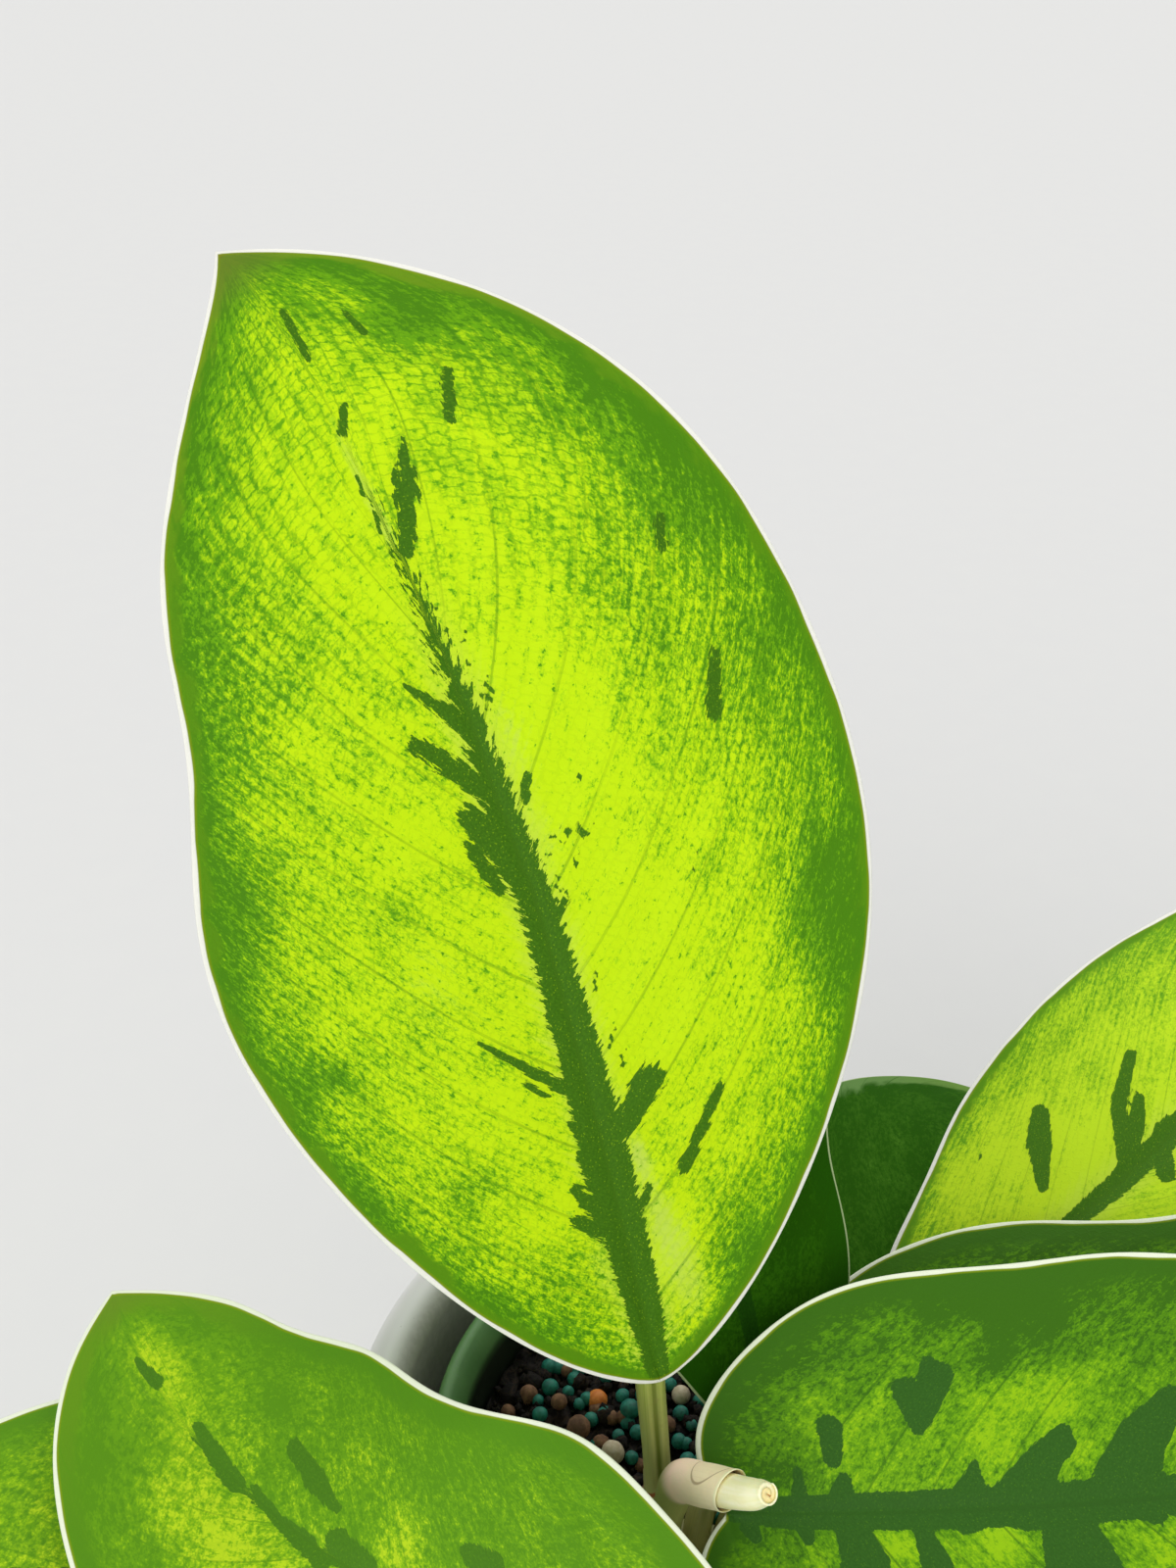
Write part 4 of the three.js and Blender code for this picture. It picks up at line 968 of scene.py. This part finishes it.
def bud_sleeve(finish, rows=110, columns=72):
    """The sleeve round the bud: its outer face from the crown to the slanting mouth, over the thin
    lip, and the inner face back down to where the rolled spathe starts."""
    angle = np.linspace(0, 2 * math.pi, columns, endpoint=False)
    u_axis = np.linspace(0.6, 0.95, 200)
    u2, angle2 = np.meshgrid(u_axis, angle, indexing="ij")
    surface, _ = bud_surface(u2, angle2, bud_radius(u2))
    mouth, tangent = bud_surface(np.array([SLEEVE_END]), np.array([0.0]), np.array([0.0]))
    facing = unit(tangent[0] + MOUTH_SLANT)
    ahead = (surface - (mouth[0] - MOUTH_SET_BACK * facing)) @ facing
    end = np.array([np.interp(0.0, ahead[:, k], u_axis) for k in range(columns)])
    outer = np.linspace(0, 1, rows)[:, None] ** 0.8 * end
    inner = end + (SPATHE_START - end) * np.linspace(0.004, 1, 14)[:, None]
    thin = SLEEVE_WALL * (1 - 0.45 * smoothstep(inner / end, 0.9, 1.0))
    lip = np.array([0.25, 0.5, 0.75])[:, None]
    u = np.vstack([outer, end + 0.004 * np.sin(math.pi * lip) + 0 * end, inner])
    depth = np.vstack([np.zeros_like(outer), lip * thin[0] + 0 * end, thin])
    angle2 = np.broadcast_to(angle, u.shape)
    flare = 0.12 * fall((u - end) / 0.02, 1.0)
    points, _ = bud_surface(u, angle2, bud_radius(u) - depth + flare)
    uv = np.stack([u * 0.6, np.abs(angle2 / (2 * math.pi) - 0.5) * 0.22], -1)
    fields = {"mouth": (end - u) * 60, "along": u, "turn": angle2 + 0 * u, "depth": depth}
    piece = closed_loft("bud_sleeve", points * MM, uv=uv, fields=fields)
    dress(piece, finish, "sleeve_pink", "flower_sleeve")


def bud_spathe(finish, rows=70, columns=150):
    """The rolled spathe: one sheet wound inwards by two and a quarter turns. The first turns shrink
    slowly, the last one closes on the middle, and each turn is as thick as the room it leaves for the
    next one, less a narrow gap. The end rounds in to a small ring, in which the inner turns stand back."""
    turns = 2.25
    wind = np.linspace(0, 1, columns)
    along = np.linspace(0, 1, rows)
    v, w = np.meshgrid(along, wind, indexing="ij")
    top = 1.0 - 0.005 * smoothstep(w, 0.3, 0.5) + 0.003 * smoothstep(w, 0.6, 0.95)
    u = SPATHE_START + 0.005 + (top - SPATHE_START - 0.005) * v
    outer = bud_radius(u) - SLEEVE_WALL - SPATHE_GAP
    outer = outer * (1.03 - 0.29 * smoothstep(u, 0.90, 1.0) ** 2)
    radius = outer * (1 - 0.27 * w - 0.36 * smoothstep(w, 0.45, 1.0))
    angle = 2.4 - 2 * math.pi * turns * w
    later = np.minimum(w + 1 / turns, 1.0)
    within = outer * (1 - 0.27 * later - 0.36 * smoothstep(later, 0.45, 1.0)) + 0.06
    within = within + (0.05 - within) * smoothstep(w, 1 - 1 / turns, 1.02 - 1 / turns)
    points, _ = bud_surface(u, angle, radius)
    under, _ = bud_surface(u, angle, within)
    uv = np.stack([u * 0.6, w], -1)
    piece = closed_sheet("bud_spathe", points * MM, under * MM, uv)
    dress(piece, finish, "spathe_cream", "flower_spathe")


def sleeve_finish():
    """Pinkish beige sleeve, yellower towards the mouth, with fine lengthwise lines, one looping vein
    and a cream lip. Low down it is olive green: its green foot, carried up to the elbow as painted shade."""
    f = Finish("sleeve_skin")
    uv = f.flat()
    along = f.field("along")
    lines = f.noise(f.stretch(uv, 8, 420), 1.0, 2.0, 0.6)
    mottle = f.noise(f.object(), 380, 4.0, 0.65)
    blush = f.ramp(f.math("ADD", along, f.math("MULTIPLY", mottle, 0.1)), 0.62, 0.80)
    flesh = f.mix(blush, linear(255, 220, 196), linear(255, 238, 196))
    colour = f.mix(f.ramp(mottle, 0.35, 0.7), flesh, f.mix(0.4, flesh, linear(240, 220, 182)))
    colour = f.mix(f.ramp(lines, 0.5, 0.75, 0.0, 0.2), colour, linear(214, 196, 154))
    # Olive green low down: partly the sleeve's green foot, partly painted shade under the elbow.
    colour = f.mix(f.ramp(along, 0.61, 0.54), colour, linear(150, 156, 84))
    swung = f.math("DIVIDE", f.math("SUBTRACT", f.field("mouth"), 6.0), 4.5)
    hang = f.math("SUBTRACT", 4.6, f.math("MULTIPLY", 1.2, f.math("MULTIPLY", swung, swung)))
    loop = f.math("ABSOLUTE", f.math("SUBTRACT", f.field("turn"), hang))
    loop = f.math("MULTIPLY", f.ramp(loop, 0.10, 0.03), f.ramp(f.math("ABSOLUTE", swung), 1.15, 1.0))
    colour = f.mix(f.math("MULTIPLY", loop, 0.65), colour, linear(150, 120, 78))
    colour = f.mix(f.ramp(f.field("mouth"), 0.55, 0.20), colour, linear(246, 240, 196))
    # Darker brown with depth on the inner face: painted shade inside the mouth.
    colour = f.mix(f.ramp(f.field("depth"), 0.35, 0.60, 0.0, 0.8), colour, linear(150, 130, 92))
    f.set(Base_Color=colour, Roughness=0.5, Specular_IOR_Level=0.4)
    f.set(Subsurface_Weight=0.1, Subsurface_Radius=(0.003, 0.0015, 0.001))
    f.bump(f.math("ADD", lines, f.math("MULTIPLY", mottle, 0.6)), 0.12, 0.5)
    return f


def spathe_finish():
    """Cream rolled spathe, yellower in its middle, with faint lengthwise lines and a rusty heart."""
    f = Finish("spathe_skin")
    uv = f.flat()
    lines = f.noise(f.stretch(uv, 6, 26), 1.0, 3.0, 0.6)
    mottle = f.noise(f.object(), 500, 3.0, 0.6)
    wind = f.add("ShaderNodeSeparateXYZ", "Y", {0: uv})
    colour = f.mix(f.ramp(lines, 0.35, 0.7), linear(244, 240, 188), linear(252, 248, 214))
    colour = f.mix(f.ramp(mottle, 0.5, 0.8, 0.0, 0.4), colour, linear(226, 218, 152))
    colour = f.mix(f.ramp(wind, 0.38, 0.55), colour, linear(244, 226, 160))
    colour = f.mix(f.ramp(wind, 0.975, 1.0), colour, linear(190, 120, 62))
    f.set(Base_Color=colour, Roughness=0.45, Specular_IOR_Level=0.4)
    f.set(Subsurface_Weight=0.2, Subsurface_Radius=(0.003, 0.002, 0.001))
    f.bump(f.math("ADD", lines, f.math("MULTIPLY", mottle, 0.5)), 0.1, 0.5)
    return f


# Pots and soil

SOIL_EDGE = 44.1
SOIL_FOOT = 9.2
SOIL_FOOT_RADIUS = 33.4
SOIL_RINGS = 62


def soil_height(x, y):
    """Height of the soil: three crossed ripples, flat where the crown stands."""
    ripples = (0.7 * np.sin(0.31 * x + 0.8) * np.cos(0.27 * y) + 0.5 * np.sin(0.71 * y - 0.4 * x)
               + 0.35 * np.cos(0.93 * x + 0.55 * y))
    calm = 1 - fall(np.hypot(x - CROWN_CENTRE[0], y - CROWN_CENTRE[1]), CROWN_RADIUS + 3)
    return SOIL_TOP + ripples * calm


def drilled(piece, drills):
    """Cuts each round drill out of the piece, and leaves a plain mesh without edges of no length."""
    for drill in drills:
        cut = piece.modifiers.new("cut_" + drill.name, "BOOLEAN")
        cut.operation = "DIFFERENCE"
        cut.object = drill
    bpy.context.view_layer.update()
    mesh = bpy.data.meshes.new_from_object(piece.evaluated_get(bpy.context.evaluated_depsgraph_get()))
    shape = bmesh.new()
    shape.from_mesh(mesh)
    no_length = 1e-7
    bmesh.ops.dissolve_degenerate(shape, dist=no_length, edges=shape.edges)
    shape.to_mesh(mesh)
    shape.free()
    piece.modifiers.clear()
    piece.data = mesh
    for drill in drills:
        bpy.data.objects.remove(drill)


def drill_at(name, radius, low, high, x, y, columns):
    """An upright round drill between two heights, its middle at x, y."""
    drill = turned(name, [(0.5, low), (radius, low), (radius, high), (0.5, high)], columns)
    drill.data.transform(Matrix.Translation((x * MM, y * MM, 0)))
    return drill


def soil_body(finish, columns=180):
    """The soil's mass, as rings from the foot's middle out, up the tapering side, in over the top and
    down into the round well in which the crown stands. Over the top the rings' middle slides from the
    pot's to the crown's, and their height follows the ripples, roughened by finer crumb."""
    well = CROWN_RADIUS + CLEARANCE
    well_foot = CROWN_TOP - CROWN_DEPTH - CLEARANCE
    share = np.linspace(0, 1, SOIL_RINGS)
    radii = np.concatenate([
        [2, SOIL_FOOT_RADIUS, SOIL_EDGE - 0.4, SOIL_EDGE],
        SOIL_EDGE - 0.3 + (well - SOIL_EDGE + 0.3) * share, [well, 0.6]])
    heights = np.concatenate([
        [SOIL_FOOT, SOIL_FOOT, SOIL_TOP - 4, SOIL_TOP - 1.5], np.full(SOIL_RINGS, np.nan),
        [well_foot, well_foot]])
    slide = np.concatenate([np.zeros(4), share, [1, 1]])[:, None]
    angle = np.linspace(0, 2 * math.pi, columns, endpoint=False)
    x = slide * CROWN_CENTRE[0] + radii[:, None] * np.cos(angle)
    y = slide * CROWN_CENTRE[1] + radii[:, None] * np.sin(angle)
    crumb = (0.35 * np.sin(2.1 * x + 1.3 * y) * np.sin(1.7 * y - 0.6 * x)
             + 0.22 * np.sin(4.3 * x - 2.9 * y + 1) + 0.15 * np.sin(6.1 * y + 3.7 * x))
    top = soil_height(x, y) + crumb - 0.5
    z = np.where(np.isnan(heights)[:, None], top, np.nan_to_num(heights)[:, None])
    piece = closed_loft("soil_mass", np.stack([x, y, z], -1) * MM)
    dress(piece, finish, "bark_soil", "soil")


def random_turns(rng, count):
    """Evenly spread random turns, from random unit quaternions."""
    w, x, y, z = unit(rng.normal(size=(count, 4))).T
    return np.stack([
        np.stack([1 - 2 * (y * y + z * z), 2 * (x * y - w * z), 2 * (x * z + w * y)], -1),
        np.stack([2 * (x * y + w * z), 1 - 2 * (x * x + z * z), 2 * (y * z - w * x)], -1),
        np.stack([2 * (x * z - w * y), 2 * (y * z + w * x), 1 - 2 * (x * x + y * y)], -1)], -2)


def soil_places(rng, count, reach, lift):
    """Random places on the soil within a reach of the pot's axis and clear of the crown."""
    many = count * 3
    radius = reach * np.sqrt(rng.random(many))
    angle = 2 * math.pi * rng.random(many)
    x, y = radius * np.cos(angle), radius * np.sin(angle)
    clear = np.hypot(x - CROWN_CENTRE[0], y - CROWN_CENTRE[1]) > CROWN_RADIUS + 1.5
    x, y = x[clear][:count], y[clear][:count]
    return np.stack([x, y, soil_height(x, y) + lift], -1)


def scattered(name, finish, seed, count, sizes, squash, rough, lift, rings, columns, reach):
    """Loose grains on the soil: balls of random size within sizes, flattened by squash, with their
    faces pushed in and out by rough."""
    rng = np.random.default_rng(seed)
    template, faces = ball_template(rings, columns)
    centres = soil_places(rng, count, reach, lift)
    count = len(centres)
    size = sizes[0] + (sizes[1] - sizes[0]) * rng.random(count) ** 2
    shape = size[:, None] * (1 - squash * rng.random((count, 3)))
    lumps = 1 + rough * (rng.random((count, len(template))) - 0.5)
    piece = repeated(name, template, faces, centres, shape, random_turns(rng, count), lumps)
    coat(piece, finish)


def placed(name, finish, seed, places, squash=0.1, rough=0.04):
    """Single loose grains, one for each place of x, y and radius, resting on the soil."""
    rng = np.random.default_rng(seed)
    template, faces = ball_template(10, 14)
    x, y, radius = np.asarray(places, float).T
    centres = np.stack([x, y, soil_height(x, y) + 0.6 * radius], -1)
    shape = radius[:, None] * (1 - squash * rng.random((len(x), 3)))
    lumps = 1 + rough * (rng.random((len(x), len(template))) - 0.5)
    piece = repeated(name, template, faces, centres, shape, random_turns(rng, len(x)), lumps)
    coat(piece, finish)


def grain_finish(name, colour, pale, roughness):
    """Pressed feed or clay grains: two tones of one colour in fine mottle, with a dusting of soil."""
    f = Finish(name)
    mottle = f.noise(f.object(), 900, 4.0, 0.65)
    tone = f.noise(f.object(), 160, 2.0)
    mixed = f.mix(f.ramp(mottle, 0.35, 0.7), colour, pale)
    mixed = f.mix(f.ramp(tone, 0.5, 0.8, 0.0, 0.6), mixed, linear(52, 38, 28))
    f.set(Base_Color=mixed, Roughness=roughness)
    f.bump(mottle, 0.2, 0.7)
    return f


def soil_finish():
    """Dark moist bark soil: near-black and brown crumbs with a few pale fibres."""
    f = Finish("bark_soil_crumb")
    place = f.object()
    crumb = f.noise(place, 520, 5.0, 0.7)
    patch = f.noise(place, 90, 3.0, 0.6)
    fibre = f.cells(f.warp(place, 120, 0.01), 300, "DISTANCE_TO_EDGE")
    colour = f.mix(f.ramp(crumb, 0.35, 0.7), linear(9, 7, 5), linear(28, 20, 14))
    colour = f.mix(f.ramp(patch, 0.5, 0.75, 0.0, 0.6), colour, linear(54, 37, 24))
    colour = f.mix(f.ramp(fibre, 0.06, 0.0, 0.0, 0.2), colour, linear(96, 76, 52))
    f.set(Base_Color=colour, Roughness=f.ramp(crumb, 0.3, 0.7, 0.95, 0.7), Specular_IOR_Level=0.3)
    f.bump(crumb, 0.8, 0.8)
    return f


def crown(finish, columns=96):
    """The fleshy crown: a low round stem, ringed by old leaf scars, lumpy round its edge."""
    foot = CROWN_TOP - CROWN_DEPTH
    drop, inset = 1.6, 2.6
    climb, rounding, over = 18, 12, 12
    quarter = np.linspace(0, math.pi / 2, rounding)
    height = np.concatenate([
        np.linspace(foot, CROWN_TOP - drop, climb), CROWN_TOP - drop + drop * np.sin(quarter)[1:]])
    radius = np.concatenate([
        CROWN_RADIUS * (0.72 + 0.28 * smoothstep(np.linspace(0, 1, climb), 0, 0.3)),
        CROWN_RADIUS - inset * (1 - np.cos(quarter))[1:]])
    inner = np.linspace(CROWN_RADIUS - 3.2, 0.8, over)
    radius = np.concatenate([[1.0], radius, inner])
    height = np.concatenate([[foot], height, np.full(over, CROWN_TOP)])
    angle = np.linspace(0, 2 * math.pi, columns, endpoint=False)
    r2, angle2 = np.meshgrid(radius, angle, indexing="ij")
    z = np.broadcast_to(height[:, None], r2.shape)
    lumps = 1 - 0.03 * (1 + np.sin(5 * angle2 + 0.4)) * (1 + 0.5 * np.sin(9 * angle2 + 0.8 * z))
    scars = 0.25 * np.sin(2.4 * z + 0.7 * np.sin(3 * angle2))
    r = r2 * lumps + np.where(r2 > 5, scars - 0.25, 0)
    z = z - 0.25 * (1 + np.sin(0.9 * r2 + 2 * angle2)) * smoothstep(z, CROWN_TOP - 1, CROWN_TOP)
    rings = np.stack([CROWN_CENTRE[0] + r * np.cos(angle2), CROWN_CENTRE[1] + r * np.sin(angle2), z], -1) * MM
    piece = closed_loft("crown_stem", rings)
    dress(piece, finish, "crown_green", "crown")


def crown_finish():
    """Olive stem flesh with brown scar rings."""
    f = Finish("crown_flesh")
    place = f.object()
    mottle = f.noise(place, 260, 4.0, 0.65)
    bands = f.noise(f.stretch(place, 60, 60, 600), 1.0, 3.0)
    colour = f.mix(f.ramp(mottle, 0.35, 0.7), linear(122, 128, 66), linear(158, 154, 94))
    colour = f.mix(f.ramp(bands, 0.52, 0.68), colour, linear(104, 74, 44))
    f.set(Base_Color=colour, Roughness=0.6)
    f.bump(f.math("ADD", mottle, bands), 0.5, 0.6)
    return f


def cachepot(finish):
    """The round cachepot, turned: flat foot with a rounded edge, tapered wall, full round lip, and the
    same wall inside down to a flat floor. The mark is 0 outside, grows over the lip's inner half to 1,
    and stays 1 inside."""
    height, crest_radius, lip = 115, 61, 4.8
    rounding, flat_foot, flat_floor, floor = 5.0, 42, 37.4, 7
    outer = [[0.5, 0.0]] + [list(p) for p in arc((flat_foot, rounding), rounding, -90, 0, 12)]
    over = arc((crest_radius, height - lip), lip, 0, 180, 28)
    inner = arc((flat_floor, floor + rounding), rounding, 0, -90, 10)
    climb = np.linspace(outer[-1], over[0], 14)[1:-1]
    fall_in = np.linspace(over[-1], inner[0], 14)[1:-1]
    profile = np.concatenate([outer, climb, over, fall_in, inner, [[0.5, floor]]])
    before = len(outer) + len(climb)
    inside = np.ones(len(profile))
    inside[:before] = 0.0
    inside[before:before + len(over)] = smoothstep(np.linspace(0, 180, len(over)), 95, 140)
    piece = turned("cachepot_glaze", profile, 224, inside)
    dress(piece, finish, "cachepot_ceramic", "cachepot")


def cachepot_finish():
    """Satin white glaze with a soft mottle and fine pinholes, and a dark grey inside."""
    f = Finish("cachepot_satin")
    place = f.object()
    cloud = f.noise(place, 22, 4.0, 0.6)
    pin = f.cells(place, 420)
    fine = f.noise(place, 700, 3.0, 0.6)
    white = f.mix(f.ramp(cloud, 0.35, 0.7), linear(226, 226, 222), linear(214, 214, 210))
    white = f.mix(f.ramp(pin, 0.10, 0.02, 0.0, 0.25), white, linear(150, 148, 140))
    height = f.add("ShaderNodeSeparateXYZ", "Z", {0: place})
    white = f.mix(f.ramp(height, 0.0022, 0.0012), white, linear(186, 176, 160))
    grey = f.mix(f.ramp(fine, 0.35, 0.7), linear(166, 166, 156), linear(178, 178, 168))
    colour = f.mix(f.field("inside"), white, grey)
    f.set(Base_Color=colour, Roughness=f.ramp(cloud, 0.3, 0.7, 0.34, 0.44), Specular_IOR_Level=0.5)
    f.bump(f.math("ADD", f.math("MULTIPLY", cloud, 2.0), f.math("MULTIPLY", fine, 0.12)), 0.15, 0.35)
    return f


def nursery_pot(finish):
    """The thin nursery pot, turned: flat floor, tapered wall with shallow ribs and a rolled rim, then
    its six drain holes cut through the floor. The mark is 0 outside and on the rim, and 1 from a
    little way down inside."""
    foot, top, foot_radius, rim_radius, bead = 7.3, 110.8, 36.0, 49, 1.7
    thickness, ribs, rib_depth = 1.6, 9, 0.12
    hole_radius, hole_ring, past_floor = 4, 22.3, 3
    rise = np.linspace(0, 1, 60)
    low, high = np.array([foot_radius, foot]), np.array([rim_radius - bead, top - 2 * bead])
    wall = low + (high - low) * rise[:, None]
    wall[:, 0] -= rib_depth * (0.5 - 0.5 * np.cos(2 * math.pi * ribs * rise))
    rim = arc((rim_radius, top - bead), bead, -110, 130, 16)
    low_in = np.array([foot_radius - thickness, foot + thickness])
    high_in = np.array([rim_radius - bead - thickness, top - 2.4 * bead])
    back = high_in + (low_in - high_in) * rise[:, None]
    profile = np.concatenate([[[0.5, foot]], wall, rim, back, [[0.5, foot + thickness]]])
    inside = np.concatenate([np.zeros(1 + len(wall) + len(rim)), smoothstep(rise, -0.01, 0.034), [1.0]])
    piece = turned("nursery_pot_wall", profile, 200, inside)
    drilled(piece, [
        drill_at(f"drill_{k}", hole_radius, foot - past_floor, foot + past_floor,
                 hole_ring * math.cos(turn), hole_ring * math.sin(turn), 24)
        for k, turn in enumerate(np.radians(60 * np.arange(6)))])
    dress(piece, finish, "nursery_plastic", "nursery_pot")


def nursery_finish():
    """Matt green moulded plastic, a little worn and dusty at the rim, with painted shade inside: the inner
    wall turns near black a little way below the rim.
    """
    f = Finish("nursery_plastic_green")
    place = f.object()
    haze = f.noise(place, 60, 4.0, 0.6)
    scuff = f.noise(f.stretch(place, 900, 900, 120), 1.0, 3.0, 0.6)
    colour = f.mix(f.ramp(haze, 0.35, 0.7), linear(92, 138, 78), linear(106, 152, 88))
    colour = f.mix(f.ramp(scuff, 0.60, 0.80, 0.0, 0.4), colour, linear(128, 156, 120))
    # Painted shade: near-black green for the inner wall, which lies in shade below the rim.
    painted_shade_inside = f.mix(f.ramp(haze, 0.35, 0.7), linear(22, 34, 22), linear(34, 44, 28))
    colour = f.mix(f.field("inside"), colour, painted_shade_inside)
    f.set(Base_Color=colour, Roughness=f.ramp(haze, 0.3, 0.7, 0.4, 0.55))
    f.bump(scuff, 0.08, 0.4)
    return f


# Stage

CAMERA_PLACE = (-0.022, -0.182, 0.363)
CAMERA_TILT_DOWN = 32
LENS = 36


def camera():
    """A camera that looks down at the pot from above its left front, with a lens as long as the
    sensor's longer side."""
    data = bpy.data.cameras.new("camera")
    data.lens = LENS
    data.sensor_width = LENS
    data.sensor_fit = "AUTO"
    data.clip_start = 0.01
    made = bpy.data.objects.new("camera", data)
    made.location = CAMERA_PLACE
    made.rotation_euler = (math.radians(90 - CAMERA_TILT_DOWN), 0, 0)
    bpy.context.scene.collection.objects.link(made)
    bpy.context.scene.camera = made


def sun(name, energy, location, target, angle):
    """A sun that shines from the location towards the target, as broad in the sky as the angle."""
    data = bpy.data.lights.new(name, "SUN")
    data.energy = energy
    data.angle = math.radians(angle)
    made = bpy.data.objects.new(name, data)
    made.location = location
    aim = Vector(target) - Vector(location)
    made.rotation_euler = aim.to_track_quat("-Z", "Y").to_euler()
    bpy.context.scene.collection.objects.link(made)


def stage():
    """A pale floor out to the horizon, an even white sky, and two broad soft suns: one from behind,
    like a window, and one from the front, like the room."""
    half = 8.0
    corners = [(-half, -half, 0), (half, -half, 0), (half, half, 0), (-half, half, 0)]
    floor = new_mesh("floor", np.array(corners), [[0, 1, 2, 3]])
    f = Finish("floor_pale")
    fleck = f.noise(f.object(), 60.0, 2.0)
    f.set(Base_Color=f.mix(fleck, linear(213, 213, 212), linear(215, 215, 213)), Roughness=0.95)
    f.set(Specular_IOR_Level=0.1)
    floor.data.materials.append(f.material)
    world = bpy.data.worlds.new("sky")
    world.use_nodes = True
    sky = world.node_tree.nodes["Background"].inputs
    sky["Color"].default_value = (1.0, 1.0, 1.0, 1.0)
    sky["Strength"].default_value = 0.62
    bpy.context.scene.world = world
    sun("window", 1.3, (0.25, 0.9, 1.3), (0, 0, 0.15), 50)
    sun("room", 1.9, (-0.35, -1.0, 0.55), (0, 0, 0.1), 60)
    bpy.context.scene.view_settings.view_transform = "Standard"


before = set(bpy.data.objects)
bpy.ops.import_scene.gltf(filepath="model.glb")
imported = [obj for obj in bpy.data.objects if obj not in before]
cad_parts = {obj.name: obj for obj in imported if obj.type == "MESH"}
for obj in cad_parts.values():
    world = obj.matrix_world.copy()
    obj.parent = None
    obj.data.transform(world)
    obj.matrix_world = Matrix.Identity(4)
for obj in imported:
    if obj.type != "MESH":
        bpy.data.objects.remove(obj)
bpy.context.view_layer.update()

camera()
stage()

bright = blade_finish("blade_bright_variegated", BRIGHT)
soft = blade_finish("blade_bright_streaked", SOFT)
marbled = blade_finish("blade_marbled", MARBLED)
fresh = blade_finish("blade_fresh", FRESH)
plain = blade_finish("blade_plain_green", PLAIN)
blade("leaf_hero", bright, "blade_bright", rows=220, middle=10, flank=42)
blade("leaf_rear_right", soft, "blade_bright", rows=150)
blade("leaf_right", marbled, "blade_deep", rows=170, middle=8, flank=30)
blade("leaf_front_left", fresh, "blade_deep", rows=150, middle=8, flank=28)
blade("leaf_far_left", fresh, "blade_deep")
for leaf_name in ("leaf_right_under", "leaf_front", "leaf_back_left"):
    blade(leaf_name, marbled, "blade_deep")
# leaf_back wears the plain green with painted sheen.
blade("leaf_back", blade_finish("blade_green_painted_sheen", PAINTED_SHEEN), "blade_deep")
blade("leaf_behind_hero", plain, "blade_deep")
flesh = stalk_finish()
for leaf_name in LEAVES:
    stalk(leaf_name, flesh)
bud_sleeve(sleeve_finish())
bud_spathe(spathe_finish())
crown(crown_finish())

cachepot(cachepot_finish())
nursery_pot(nursery_finish())
bark = soil_finish()
soil_body(bark)
scattered("bark_crumbs", bark, 5, 1500, (0.6, 2.6), 0.6, 0.5, 0.0, 5, 6, 43.0)
teal = grain_finish("feed_teal", linear(10, 102, 88), linear(34, 136, 114), 0.6)
clay = grain_finish("clay_brown", linear(104, 72, 48), linear(138, 102, 72), 0.85)
orange = grain_finish("feed_orange", linear(206, 112, 34), linear(226, 140, 58), 0.6)
cream = grain_finish("feed_cream", linear(196, 178, 146), linear(214, 202, 176), 0.7)
scattered("teal_grains", teal, 21, 150, (1.3, 1.7), 0.08, 0.02, 0.7, 8, 10, 41.5)
scattered("clay_grains", clay, 22, 90, (1.3, 2.5), 0.25, 0.08, 0.6, 8, 10, 41.0)
scattered("orange_grains", orange, 23, 7, (1.7, 2.0), 0.06, 0.03, 0.9, 8, 10, 40.0)
scattered("cream_grains", cream, 24, 12, (1.3, 2.0), 0.15, 0.05, 0.8, 8, 10, 40.0)
placed("teal_cluster", teal, 31, (
    (-29.8, 21.7, 1.7), (-29.4, 16.6, 1.8), (-31.3, 10.0, 1.6), (-24.7, 18.8, 1.5), (-21.4, 9.6, 1.5),
    (-13.9, 11.2, 2.0), (-16.2, 6.3, 1.3), (-13.8, 0.9, 1.4), (-4.7, 5.0, 1.6), (-15.2, 15.0, 1.5),
    (-25.9, 15.6, 1.3), (-18.4, 18.6, 1.5), (-11.4, 14.8, 1.5), (-12.6, 6.8, 1.5), (-24.2, 23.0, 1.4)))
placed("clay_cluster", clay, 32, (
    (-23.8, 6.6, 2.5), (-19.6, 4.6, 1.9), (-27.6, 12.2, 1.9), (-33.6, 15.4, 2.0), (-37.5, 12.0, 1.8),
    (-28.2, 5.2, 2.0), (-22.0, 1.0, 1.8)), 0.2, 0.08)
placed("orange_ball", orange, 33, ((-20.2, 14.0, 2.2),))
placed("cream_bits", cream, 34, ((-17.3, 1.5, 2.3), (-3.8, 14.8, 2.0)))
